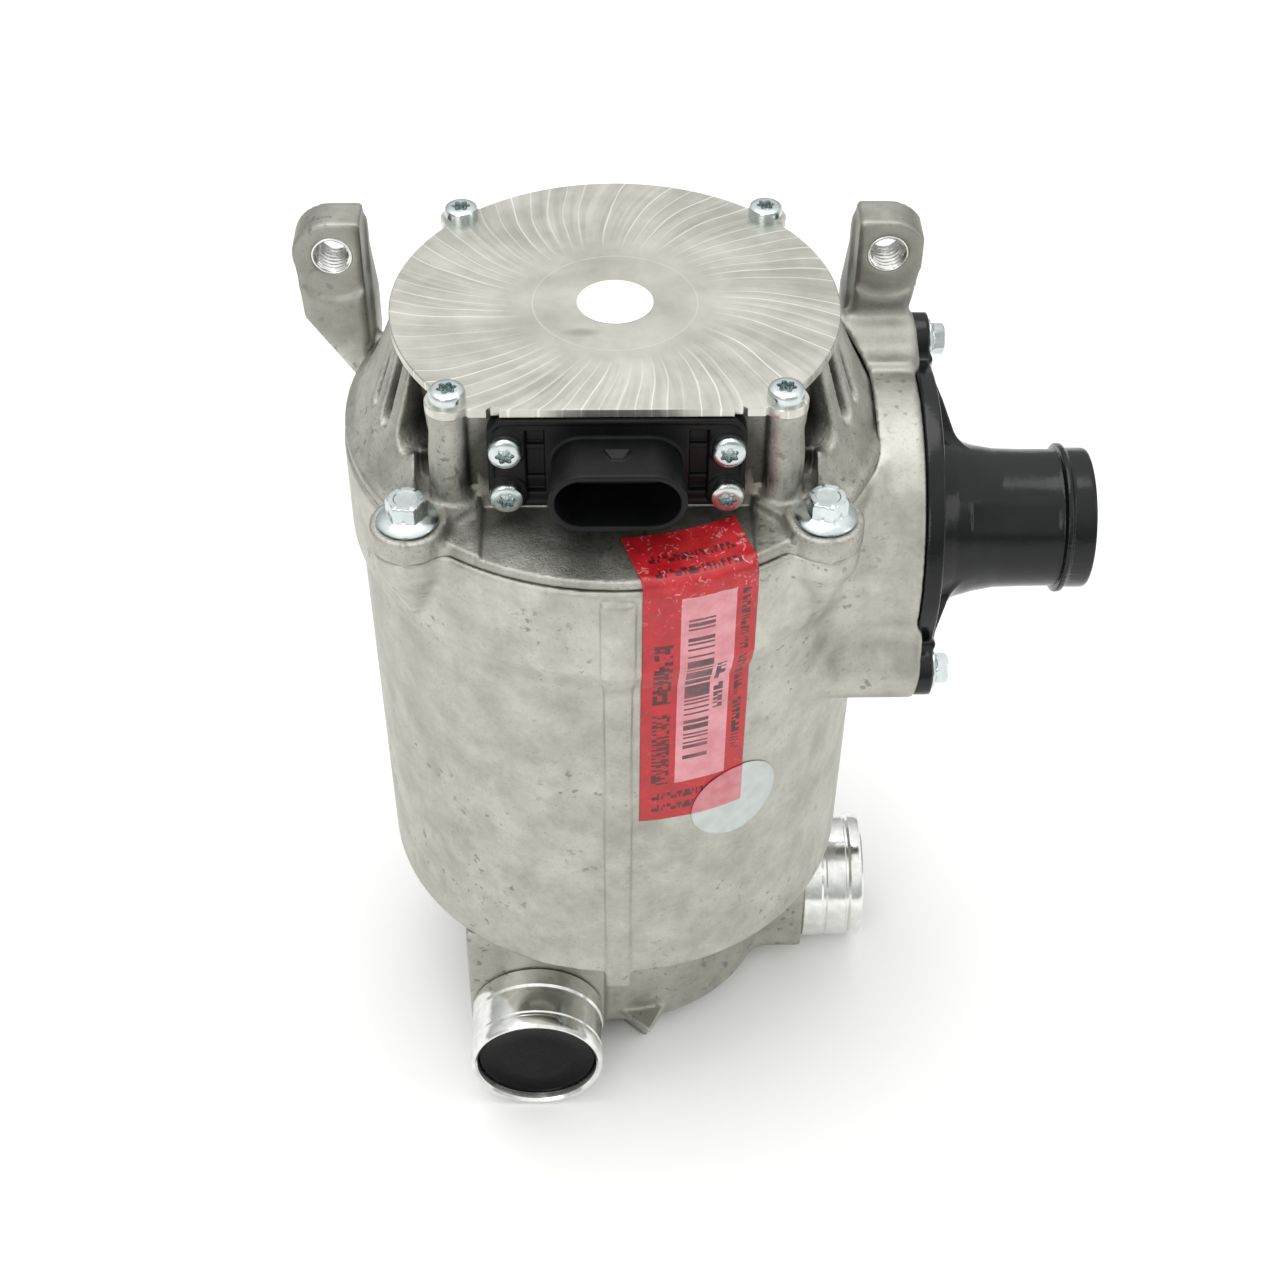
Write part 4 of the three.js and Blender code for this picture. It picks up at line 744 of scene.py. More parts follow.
# %% [markdown]
# ## Turned shapes from one Geometry Nodes tree
# Screws, bolts, hose outlets and the plug are all turned, or nearly so: a profile swept round an
# axis, sometimes with a hexagon or a star pressed into it. One tree covers them. A grid is rolled
# into a tube, float curves give each row its radius and height, and a third curve says how much of
# the row follows the hexagon or star. The tree then puts a copy on every point it is given, aims it,
# and gives each copy its own turn from a fixed seed, since no two screws stop at the same angle.

# %% The turning tree
def curve_row(tree, share, values):
    """A float curve that goes straight through evenly spaced values between 0 and 1."""
    node = add(tree, "ShaderNodeFloatCurve", {"Value": share})
    points = node.mapping.curves[0].points
    while len(points) < len(values):
        points.new(0.5, 0.5)
    for i, (point, value) in enumerate(zip(points, values)):
        point.location = (i / (len(values) - 1), value)
        point.handle_type = "VECTOR"
    node.mapping.update()
    return node.outputs[0]


def turning_tree(name, profile, sides=0, star=0.0):
    """Profile points are (radius, height, how much of the form), in millimetres. The form is a
    polygon with that many sides, or a star whose points reach out by that share."""
    tree = bpy.data.node_groups.new(name, "GeometryNodeTree")
    face = tree.interface
    face.new_socket("Places", in_out="INPUT", socket_type="NodeSocketGeometry")
    for label, kind in (("Radius", "NodeSocketFloat"), ("Lowest", "NodeSocketFloat"),
                        ("Height", "NodeSocketFloat"), ("Around", "NodeSocketInt"),
                        ("Turn", "NodeSocketFloat"), ("Seed", "NodeSocketInt"),
                        ("Finish", "NodeSocketMaterial")):
        face.new_socket(label, in_out="INPUT", socket_type=kind)
    face.new_socket("Turned", in_out="OUTPUT", socket_type="NodeSocketGeometry")
    given = add(tree, "NodeGroupInput").outputs
    radii, heights, weights = zip(*profile)
    widest, low, high = max(radii), min(heights), max(heights)

    rows = add(tree, "GeometryNodeMeshGrid", {"Size X": 1.0, "Size Y": 1.0, "Vertices X": given["Around"],
                                              "Vertices Y": len(profile)})
    place = add(tree, "ShaderNodeSeparateXYZ", {0: add(tree, "GeometryNodeInputPosition").outputs[0]}).outputs
    angle = output_of(tree, MATH, [output_of(tree, MATH, [place["X"], 0.5], operation="ADD"), math.tau],
                      operation="MULTIPLY")
    row = output_of(tree, MATH, [place["Y"], 0.5], operation="ADD")
    radius = output_of(tree, MATH, [curve_row(tree, row, [r / widest for r in radii]), given["Radius"]],
                       operation="MULTIPLY")
    climb = curve_row(tree, row, [(h - low) / (high - low) for h in heights])
    level = output_of(tree, MATH, [climb, given["Height"], given["Lowest"]], operation="MULTIPLY_ADD")
    if sides:
        if star:
            waves = output_of(tree, MATH,
                              [output_of(tree, MATH, [angle, float(sides)], operation="MULTIPLY")],
                              operation="COSINE")
            form = output_of(tree, MATH, [waves, star, 1.0], operation="MULTIPLY_ADD")
        else:
            step = math.tau / sides
            folded = output_of(tree, MATH,
                               [output_of(tree, MATH, [angle, step], operation="MODULO"), step / 2],
                               operation="SUBTRACT")
            form = output_of(tree, MATH,
                             [math.cos(step / 2), output_of(tree, MATH, [folded], operation="COSINE")],
                             operation="DIVIDE")
        share = output_of(tree, MATH,
                          [curve_row(tree, row, weights),
                           output_of(tree, MATH, [form, 1.0], operation="SUBTRACT")], operation="MULTIPLY")
        radius = output_of(tree, MATH, [radius, output_of(tree, MATH, [share, 1.0], operation="ADD")],
                           operation="MULTIPLY")
    rolled = add(tree, "ShaderNodeCombineXYZ",
                 {"X": output_of(tree, MATH, [radius, output_of(tree, MATH, [angle], operation="COSINE")],
                                 operation="MULTIPLY"),
                  "Y": output_of(tree, MATH, [radius, output_of(tree, MATH, [angle], operation="SINE")],
                                 operation="MULTIPLY"), "Z": level})
    shaped = add(tree, "GeometryNodeSetPosition",
                 {"Geometry": rows.outputs["Mesh"], "Position": rolled.outputs[0]})
    closed = add(tree, "GeometryNodeMergeByDistance", {"Geometry": shaped.outputs[0], "Distance": 0.002 * MM})

    aim = add(tree, "GeometryNodeInputNamedAttribute", {"Name": "aim"}, data_type="FLOAT_VECTOR")
    aimed = add(tree, "FunctionNodeAlignRotationToVector", {"Vector": aim.outputs["Attribute"]}, axis="Z")
    spin = add(tree, "FunctionNodeRandomValue", {2: 0.0, 3: given["Turn"], "Seed": given["Seed"]},
               data_type="FLOAT")
    about = add(tree, "ShaderNodeCombineXYZ", {"Z": spin.outputs[1]})
    turned = add(tree, "FunctionNodeRotateRotation",
                 {"Rotation": aimed.outputs[0], "Rotate By": about.outputs[0]}, rotation_space="LOCAL")
    copies = add(tree, "GeometryNodeInstanceOnPoints",
                 {"Points": given["Places"], "Instance": closed.outputs[0], "Rotation": turned.outputs[0]})
    real = add(tree, "GeometryNodeRealizeInstances", {"Geometry": copies.outputs[0]})
    painted = add(tree, "GeometryNodeSetMaterial", {"Geometry": real.outputs[0], "Material": given["Finish"]})
    add(tree, "NodeGroupOutput", {0: painted.outputs[0]})
    return tree, {"Radius": widest * MM, "Lowest": low * MM, "Height": (high - low) * MM}


def turned_pieces(name, tree_and_sizes, places, aim, finish, around, turn=0.0, seed=0, sharp=30):
    """The tree's shape at each place, in millimetres, with its axis along aim, as one plain mesh."""
    tree, sizes = tree_and_sizes
    points = bpy.data.meshes.new(name)
    points.from_pydata([Vector(place) * MM for place in places], [], [])
    aims = points.attributes.new("aim", "FLOAT_VECTOR", "POINT")
    aims.data.foreach_set("vector", list(aim) * len(places))
    carrier = bpy.data.objects.new("carrier", points)
    bpy.context.scene.collection.objects.link(carrier)
    modifier = carrier.modifiers.new("turning", "NODES")
    modifier.node_group = tree
    values = {**sizes, "Around": around + 1, "Turn": turn, "Seed": seed, "Finish": finish}
    for item in tree.interface.items_tree:
        if item.in_out == "INPUT" and item.name in values:
            modifier[item.identifier] = values[item.name]
    evaluated = carrier.evaluated_get(bpy.context.evaluated_depsgraph_get())
    made = bpy.data.meshes.new_from_object(evaluated)
    bpy.data.objects.remove(carrier)
    outwards(made)
    made.shade_smooth()
    made.set_sharp_from_angle(angle=math.radians(sharp))
    print(name, len(places), "of", tree.name, "->", len(made.polygons), "faces")
    return made


def outwards(mesh):
    """Merges doubles and turns the faces of a closed mesh outwards."""
    work = bmesh.new()
    work.from_mesh(mesh)
    bmesh.ops.remove_doubles(work, verts=work.verts, dist=0.001 * MM)
    bmesh.ops.recalc_face_normals(work, faces=work.faces)
    work.to_mesh(mesh)
    work.free()


# %% [markdown]
# ## Finishes of the turned, plated and moulded pieces
# Each of these starts from what the real piece is. A turned face keeps the fine rings of the tool. A
# zinc coat is smooth and faintly blue, with a cloudy passivation. Glass-filled nylon comes out of a
# polished mould glossy and slightly wavy, and the connector's mould was spark-eroded, so it is satin.
# One helper covers what they share: two colours clouded together, a range of roughness, and a relief.

# %% A clouded finish
def clouded(name, codes, cloud_mm, metallic, roughness, relief_mm, grain_mm, ior=None, shine=0.5,
            rings=None):
    """Two colours mixed by a noise, a roughness range, and a relief of a grain size, both in mm.
    Rings are a pitch in mm and its axis, such as a tool or a winding leaves."""
    made, tree, shader = bare_material(name)
    here = add(tree, "ShaderNodeTexCoord").outputs["Object"]
    cloud = add(tree, "ShaderNodeTexNoise", {"Vector": here, "Scale": per_metre(cloud_mm), "Detail": 4.0})
    base = output_of(tree, RAMP, [cloud.outputs["Fac"]], stops=[(0.35, codes[0]), (0.65, codes[1])])
    shader.inputs["Metallic"].default_value = metallic
    if ior:
        shader.inputs["IOR"].default_value = ior
        shader.inputs["Specular IOR Level"].default_value = shine
    fine = add(tree, "ShaderNodeTexNoise", {"Vector": here, "Scale": per_metre(grain_mm), "Detail": 3.0})
    relief, strength = fine.outputs["Fac"], 0.6
    if rings:
        pitch_mm, axis = rings
        wave = add(tree, "ShaderNodeTexWave", {"Vector": here, "Scale": per_metre(pitch_mm) / 20,
                                               "Distortion": 0.6, "Detail": 1.0, "Detail Scale": 4.0},
                   wave_type="BANDS", bands_direction=axis, wave_profile="SIN")
        relief, strength = wave.outputs["Fac"], 0.7
    link_skin(tree, shader, base, fine.outputs["Fac"], roughness, relief, strength, relief_mm)
    return made


# Zinc plate over steel: bright, faintly blue, with a cloudy passivation.
ZINC = clouded("zinc_plated_steel", ("#C3CCCC", "#D6DEDD"), 4.0, 1.0, (0.2, 0.28), 0.006, 1.2)
# Glass-filled nylon from a polished mould: near black, glossy, slightly wavy.
GLOSSY_NYLON = clouded("glass_filled_nylon", ("#08090A", "#0F1112"), 9.0, 0.0, (0.14, 0.24), 0.25, 7.0, 1.53,
                       0.3)
# PBT from a spark-eroded mould: charcoal and satin.
SATIN_PBT = clouded("spark_eroded_pbt", ("#090A0A", "#101111"), 5.0, 0.0, (0.4, 0.52), 0.02, 0.4, 1.5, 0.22)
# EPDM rubber: matt black with a dusty bloom.
RUBBER = clouded("epdm_rubber", ("#0E0E0F", "#161617"), 3.0, 0.0, (0.42, 0.6), 0.04, 0.8, 1.52)
# Polyethylene caps are moulded black, with a soft gloss.
POLYETHYLENE = clouded("black_polyethylene", ("#040404", "#080808"), 6.0, 0.0, (0.22, 0.32), 0.05, 6.0, 1.51,
                       0.12)
# Tin over brass: dull silver terminals.
TINNED = clouded("tinned_brass", ("#B8B7B0", "#CFCEC7"), 1.5, 1.0, (0.3, 0.42), 0.01, 0.4)
# Solder mask on glass fibre: green and half glossy.
SOLDER_MASK = clouded("solder_mask_board", ("#154A2A", "#1D5E36"), 4.0, 0.0, (0.3, 0.4), 0.03, 0.8, 1.5)
# The shrunk sleeve on a capacitor: dark blue PVC.
SLEEVE = clouded("pvc_sleeve", ("#1D2B47", "#263860"), 3.0, 0.0, (0.3, 0.45), 0.02, 1.5, 1.53)
# Ground bearing steel: a hard grey shine.
BEARING_STEEL = clouded("ground_bearing_steel", ("#8F9295", "#A6A9AC"), 2.0, 1.0, (0.16, 0.26), 0.01, 0.3)
# The carbon-fibre sleeve that holds the magnets: dark and half glossy.
MAGNET_SLEEVE = clouded("carbon_sleeve", ("#1E2023", "#34373A"), 0.8, 0.0, (0.3, 0.45), 0.05, 0.8, 1.6)
print("clouded finishes:", len([m for m in bpy.data.materials if m.use_nodes]))

# %% Turned aluminium, laminations and windings
# Turned aluminium. The tool's rings are about 0.1 mm apart and drawn 0.6 mm apart, so that they show.
TURNED_ALONG_Y, TURNED_ALONG_X = [
    clouded(f"turned_aluminium_{place}", ("#DEDEDB", "#EFEFEC"), 3.0, 1.0, (0.13, 0.22), 0.012, 0.6,
            rings=(0.6, axis)) for place, axis in (("front", "Y"), ("side", "X"))]
# Stacked electrical steel, 0.5 mm sheets drawn 1 mm thick.
LAMINATIONS = clouded("stacked_laminations", ("#5E6163", "#7A7D80"), 3.0, 1.0, (0.35, 0.5), 0.08, 0.6,
                      rings=(1.0, "Z"))
# Enamelled copper wire in layers of about 1 mm.
COPPER = clouded("enamelled_copper_wire", ("#8A3F1C", "#B5602F"), 3.0, 1.0, (0.25, 0.4), 0.3, 0.6,
                 rings=(1.0, "Z"))
print("ringed finishes:", TURNED_ALONG_Y.name, LAMINATIONS.name, COPPER.name)

# %% [markdown]
# ## The milled lid
# A fly cutter faced the lid while it was screwed to a fixture. Its inserts leave long thin arcs that
# start at the edge of the hub and bend as they run out to the rim. In polar coordinates that is one
# line of mathematics: the angle plus a power of the radius is the same all along such an arc. The
# light each arc catches is painted into the colour as a bright line, with its own brightness from a
# noise, and the faint ring of the cutter's last pass is painted bright the same way.

# %% Milled aluminium with swept arcs
def milled_lid(hub_mm, arcs, turn):
    """Face-milled aluminium: bright and smooth, with swept cutter arcs outside a hub, whose glint is painted
    into the colour.
    """
    made, tree, shader = bare_material("face_milled_aluminium")
    here = add(tree, "ShaderNodeTexCoord").outputs["Object"]
    part = add(tree, "ShaderNodeSeparateXYZ", {0: here}).outputs
    flat = add(tree, "ShaderNodeCombineXYZ", {"X": part["X"], "Y": part["Y"]})
    radius = add(tree, "ShaderNodeVectorMath", {0: flat.outputs[0]}, operation="LENGTH").outputs["Value"]
    angle = output_of(tree, MATH, [part["Y"], part["X"]], operation="ARCTAN2")
    bend = output_of(tree, MATH, [output_of(tree, MATH, [radius, LID_RADIUS * MM], operation="DIVIDE"), 1.6],
                     operation="POWER")
    sweep = output_of(tree, MATH, [bend, math.radians(turn), angle], operation="MULTIPLY_ADD")
    wander = add(tree, "ShaderNodeTexNoise", {"Vector": here, "Scale": per_metre(30), "Detail": 1.0})
    phase = output_of(tree, MATH, [sweep, arcs / math.tau], operation="MULTIPLY")
    phase = output_of(tree, MATH,
                      [phase, output_of(tree, MATH, [wander.outputs["Fac"], 1.6], operation="MULTIPLY")],
                      operation="ADD")
    number = output_of(tree, MATH, [output_of(tree, MATH, [phase], operation="FLOOR"), float(arcs)],
                       operation="FLOORED_MODULO")
    inside = output_of(tree, MATH,
                       [output_of(tree, MATH, [output_of(tree, MATH, [phase], operation="FRACT"), 0.5],
                                  operation="SUBTRACT")], operation="ABSOLUTE")
    luck = add(tree, "ShaderNodeTexWhiteNoise", {"W": number}, noise_dimensions="1D").outputs["Value"]
    width = output_of(tree, MATH, [0.34 * MM * arcs / math.tau, radius], operation="DIVIDE")
    arc_marks_and_glint = output_of(tree, MAP_RANGE,
                     {"Value": inside, "From Min": 0.0, "From Max": width, "To Min": 1.0, "To Max": 0.0},
                     interpolation_type="SMOOTHSTEP")
    grown = add(tree, MAP_RANGE,
                {"Value": radius, "From Min": (hub_mm + 3) * MM, "From Max": (hub_mm + 14) * MM,
                 "To Min": 0.0, "To Max": 1.0})
    luck = output_of(tree, MATH, [luck, 0.6], operation="POWER")
    arc_marks_and_glint = output_of(tree, MATH,
                     [output_of(tree, MATH, [arc_marks_and_glint, grown.outputs["Result"]], operation="MULTIPLY"), luck],
                     operation="MULTIPLY")
    off_ring = output_of(tree, MATH, [output_of(tree, MATH, [radius, hub_mm * MM], operation="SUBTRACT")],
                         operation="ABSOLUTE")
    ring = output_of(tree, MAP_RANGE,
                     {"Value": off_ring, "From Min": 0.0, "From Max": 0.3 * MM, "To Min": 0.55,
                      "To Max": 0.0})
    arc_marks_and_glint = output_of(tree, MATH,
                     [arc_marks_and_glint, output_of(tree, MATH, [ring, wander.outputs["Fac"]], operation="MULTIPLY")],
                     operation="MAXIMUM")

    # Painted sheen: soft streaks between the arcs, and a cloudy one in the middle.
    streak_at = add(tree, "ShaderNodeCombineXYZ",
                    {"X": output_of(tree, MATH, [output_of(tree, MATH, [sweep], operation="COSINE"), 26.0],
                                    operation="MULTIPLY"),
                     "Y": output_of(tree, MATH, [output_of(tree, MATH, [sweep], operation="SINE"), 26.0],
                                    operation="MULTIPLY"),
                     "Z": output_of(tree, MATH, [radius, per_metre(40)], operation="MULTIPLY")})
    streaks = add(tree, "ShaderNodeTexNoise", {"Vector": streak_at.outputs[0], "Scale": 1.0, "Detail": 4.0})
    cloud = add(tree, "ShaderNodeTexNoise",
                {"Vector": here, "Scale": per_metre(16), "Detail": 5.0, "Roughness": 0.6})
    brushed = output_of(tree, MATH,
                        [output_of(tree, MATH, [streaks.outputs["Fac"], 0.5], operation="SUBTRACT"),
                         grown.outputs["Result"], 0.5], operation="MULTIPLY_ADD")
    tone = output_of(tree, MATH,
                     [output_of(tree, MATH, [brushed, 0.3], operation="MULTIPLY"),
                      output_of(tree, MATH, [cloud.outputs["Fac"], 0.7], operation="MULTIPLY")],
                     operation="ADD")
    clean = output_of(tree, RAMP, [tone], stops=[(0.38, "#B5B5AB"), (0.5, "#C5C3BA"), (0.62, "#D3D1C8")])
    # A grey smudge in front of the hub, where a cup held the lid.
    smudge = add(tree, "ShaderNodeVectorMath", {0: here, 1: (8 * MM, 12.5 * MM, -LID_TOP * MM)},
                 operation="ADD")
    smudge = add(tree, "ShaderNodeVectorMath", {0: smudge.outputs[0], 1: (0.6, 1.5, 0.0)},
                 operation="MULTIPLY")
    away = add(tree, "ShaderNodeVectorMath", {0: smudge.outputs[0]}, operation="LENGTH").outputs["Value"]
    away = output_of(tree, MATH, [cloud.outputs["Fac"], 3.0 * MM, away], operation="MULTIPLY_ADD")
    dull = output_of(tree, MAP_RANGE,
                     {"Value": away, "From Min": 2.5 * MM, "From Max": 4.5 * MM, "To Min": 0.55,
                      "To Max": 0.0})
    base = add(tree, "ShaderNodeMix", {"Factor": dull, "A": clean, "B": colour("#8E8C84")},
               data_type="RGBA").outputs["Result"]
    # Painted highlight: the cutter's arcs and its last ring are mixed towards near white.
    lit = add(tree, "ShaderNodeMix",
              {"Factor": output_of(tree, MATH, [arc_marks_and_glint, 0.85], operation="MULTIPLY"), "A": base,
               "B": colour("#FBFAF6")}, data_type="RGBA")
    shader.inputs["Metallic"].default_value = 1.0
    relief = output_of(tree, MATH, [arc_marks_and_glint, brushed], operation="ADD")
    link_skin(tree, shader, lit.outputs["Result"], brushed, (0.3, 0.42), relief, 0.25, 0.03)
    return made


HUB = 19.8
ARCS, ARC_TURN = 66, 17.0
MILLED = milled_lid(HUB, ARCS, ARC_TURN)
print("milled lid with", ARCS, "arcs outside a hub of", HUB, "mm")

# %% The lid's plate
LID_FRONT = -(POST + 4.1)


def lid_edge(angle):
    """How far the lid reaches from its middle: a circle, a straight front, and four screw lobes."""
    c, s = math.cos(angle), math.sin(angle)
    reach = min(LID_RADIUS, LID_FRONT / s if s < -0.01 else LID_RADIUS)
    across = c * reach
    if s < 0 and abs(abs(across) - 28) < 1.2 and reach < LID_RADIUS - 1:
        reach -= 1.0
    for x, y in four(POST):
        along = x * c + y * s
        room = 5.3 ** 2 - (x * x + y * y - along * along)
        if room > 0 and along > 0:
            reach = max(reach, along + math.sqrt(room))
    return reach


def plate(name, edge, low, high, count=900, bevel=0.25):
    """A flat plate whose outline is a rule, with its edges broken by a small chamfer."""
    angles = np.linspace(0, math.tau, count, endpoint=False)
    reach = np.array([edge(a) for a in angles])
    rings = []
    for inset, level in ((bevel, low), (0, low + bevel), (0, high - bevel), (bevel, high)):
        rings.append(np.column_stack([(reach - inset) * np.cos(angles), (reach - inset) * np.sin(angles),
                                      np.full(count, level)]))
    points = np.vstack([*rings, [[0, 0, low], [0, 0, high]]])
    bottom, top = 4 * count, 4 * count + 1
    faces = []
    for i in range(count):
        j = (i + 1) % count
        faces += [(k * count + i, k * count + j, (k + 1) * count + j, (k + 1) * count + i) for k in range(3)]
        faces += [(bottom, j, i), (top, 3 * count + i, 3 * count + j)]
    mesh = bpy.data.meshes.new(name)
    mesh.from_pydata([Vector(p) * MM for p in points], [], faces)
    outwards(mesh)
    mesh.shade_smooth()
    mesh.set_sharp_from_angle(angle=math.radians(25))
    return mesh


lid_mesh = plate("milled_lid", lid_edge, LID_SEAT + 0.03, LID_TOP)
piece("milled_lid", lid_mesh, MILLED, ["electronics_lid"])

# %% [markdown]
# ## Screws and bolts
# The lid and the connector are held by pan heads with a star socket, the head by hexagon bolts with
# a pressed flange, and the intake by smaller ones of the same kind. Every profile runs from the end
# of the shank, out under the head, over its rounded top and down into the socket.

# %% Pan screws
def pan_screw(name, head, height):
    profile = [(0, -9, 0), (1.9, -9, 0), (1.9, 0, 0), (head, 0, 0), (head, height * 0.5, 0),
               (head * 0.985, height * 0.68, 0), (head * 0.92, height * 0.86, 0),
               (head * 0.80, height * 0.96, 0), (head * 0.66, height, 0), (head * 0.49, height, 0.9),
               (head * 0.46, height * 0.9, 1), (head * 0.44, height * 0.1, 1),
               (head * 0.2, height * 0.04, 0.5), (0, height * 0.02, 0)]
    return turning_tree(name, profile, sides=6, star=0.17)


def fasteners(name, nodes, tree, places, aim, seed, turn, sharp):
    """Plated copies of one turned shape, which stand for as many nodes."""
    mesh = turned_pieces(name, tree, places, aim, ZINC, 96, turn, seed, sharp)
    piece(name, mesh, ZINC, nodes)


fasteners("lid_screws", numbered("lid_screw", 4), pan_screw("lid_pan_screw", 4.25, 3.1),
          [(x, y, LID_TOP) for x, y in four(POST)], (0, 0, 1), 4, math.tau, 30)
CONNECTOR_HEAD_HEIGHT = 2.7
connector_nodes = numbered("connector_screw", 4)
connector_seats = [(middle(node)[0], span(node)[0][1] + CONNECTOR_HEAD_HEIGHT, middle(node)[2])
                   for node in connector_nodes]
fasteners("connector_screws", connector_nodes,
          pan_screw("connector_pan_screw", 4.0, CONNECTOR_HEAD_HEIGHT), connector_seats, (0, -1, 0), 9,
          math.tau, 30)

# %% Flange bolts
def flange_bolt(name, shank, length, flange, flats, height):
    """A hexagon head on a dished flange. The hexagon's corners are given by its flats."""
    corner = flats / math.sqrt(3)
    rim = 0.13 * height
    profile = [(0, -length, 0), (shank, -length, 0), (shank, 0, 0), (flange * 0.97, 0, 0),
               (flange, rim * 0.5, 0), (flange, rim, 0), (flange * 0.95, rim * 1.5, 0),
               (flange * 0.78, height * 0.27, 0), (corner * 1.02, height * 0.34, 0.8),
               (corner, height * 0.4, 1), (corner, height * 0.87, 1), (corner * 0.93, height * 0.97, 0.75),
               (corner * 0.84, height, 0.2), (corner * 0.6, height, 0), (corner * 0.55, height * 0.965, 0),
               (0, height * 0.955, 0)]
    return turning_tree(name, profile, sides=6)


INTAKE_HEAD_HEIGHT = 4.4
SIXTH = math.tau / 6
fasteners("housing_bolts", numbered("housing_bolt", 4),
          flange_bolt("housing_flange_bolt", 2.9, 22, 7.35, 8.6, BOLT_HEAD_HEIGHT),
          [(x, y, BOLT_SEAT) for x, y in four(BOLT)], (0, 0, 1), 3, SIXTH, 28)
intake_nodes = numbered("intake_screw", 3)
intake_seat = span("intake_screw_1")[1][0] - INTAKE_HEAD_HEIGHT
fasteners("intake_screws", intake_nodes,
          flange_bolt("intake_flange_bolt", 1.9, 12, 5.2, 7.0, INTAKE_HEAD_HEIGHT),
          [(intake_seat, *middle(node)[1:]) for node in intake_nodes], (1, 0, 0), 5, SIXTH, 28)
volute_nodes = numbered("volute_bolt", 3)
fasteners("volute_bolts", volute_nodes, flange_bolt("volute_flange_bolt", 2.4, 12, 5.8, 8.0, 4.6),
          [(*middle(node)[:2], VOLUTE_TOP) for node in volute_nodes], (0, 0, -1), 6, SIXTH, 28)

# %% [markdown]
# ## Hose outlets and the plug
# Both outlets are turned from bar and pressed into the volute's arms. Each has a wide collar, a step,
# a groove and a rounded lip that keeps the hose on, and a chamfer leads into its bore. The plug that
# keeps dirt out of the front outlet is a black disc, slightly domed, with a rolled edge.

# %% Outlets
def outlet(name, length):
    """The bore runs through, so the profile closes on itself instead of ending on the axis."""
    bore = 16.65
    profile = [(bore, -7, 0), (17.65, -7, 0), (17.65, 0.05, 0), (18.4, 0.05, 0), (18.8, 0.5, 0),
               (18.8, 5.6, 0), (18.3, 6.2, 0), (18.3, 7.0, 0), (18.55, 7.3, 0), (18.55, length - 5.2, 0),
               (18.25, length - 4.9, 0), (18.25, length - 4.3, 0), (18.75, length - 3.6, 0),
               (18.8, length - 1.4, 0), (18.55, length - 0.5, 0), (18.1, length, 0), (17.5, length, 0),
               (16.9, length - 0.7, 0), (bore, length - 1.2, 0), (bore, -7, 0)]
    return turning_tree(name, profile)


for name, length, place, aim, finish in (
        ("front_outlet", FRONT_OUTLET_LENGTH, (FRONT_OUTLET_X, -FRONT_FACE, OUTLET_LEVEL), (0, -1, 0),
         TURNED_ALONG_Y),
        ("side_outlet", SIDE_OUTLET_LENGTH, (SIDE_FACE, 0, OUTLET_LEVEL), (1, 0, 0), TURNED_ALONG_X)):
    outlet_mesh = turned_pieces(name, outlet(f"{name}_turning", length), [place], aim, finish, 128, sharp=20)
    piece(name, outlet_mesh, finish, [f"{name}_spigot"])

# %% Plug
PLUG_THICKNESS = 4.4
plug_seat = span("transport_plug")[0][1] + PLUG_THICKNESS
plug_profile = [(0, 1.2, 0), (13.0, 1.2, 0), (14.2, 0.0, 0), (15.9, 0.0, 0), (16.5, 0.8, 0),
                (16.5, 3.9, 0), (16.1, 4.35, 0), (15.2, 4.35, 0), (14.8, 4.05, 0), (9.0, 4.25, 0),
                (0, 4.35, 0)]
plug_mesh = turned_pieces("outlet_plug", turning_tree("plug_turning", plug_profile),
                          [(FRONT_OUTLET_X, plug_seat, OUTLET_LEVEL)], (0, -1, 0), POLYETHYLENE, 128,
                          sharp=40)
piece("outlet_plug", plug_mesh, POLYETHYLENE, ["transport_plug"], PLUG)

# %% [markdown]
# ## The intake spigot
# The spigot is one moulding: a three-lobed flange, a neck that flares into it, a bead that keeps the
# hose on, and a collar at its mouth. Ribs brace the neck against each lobe. It is another field of
# distances, because its fillets are as soft as those of the castings. A long flat on the front of
# the neck is where the mould's slide ended, and it catches the light as two thin lines.

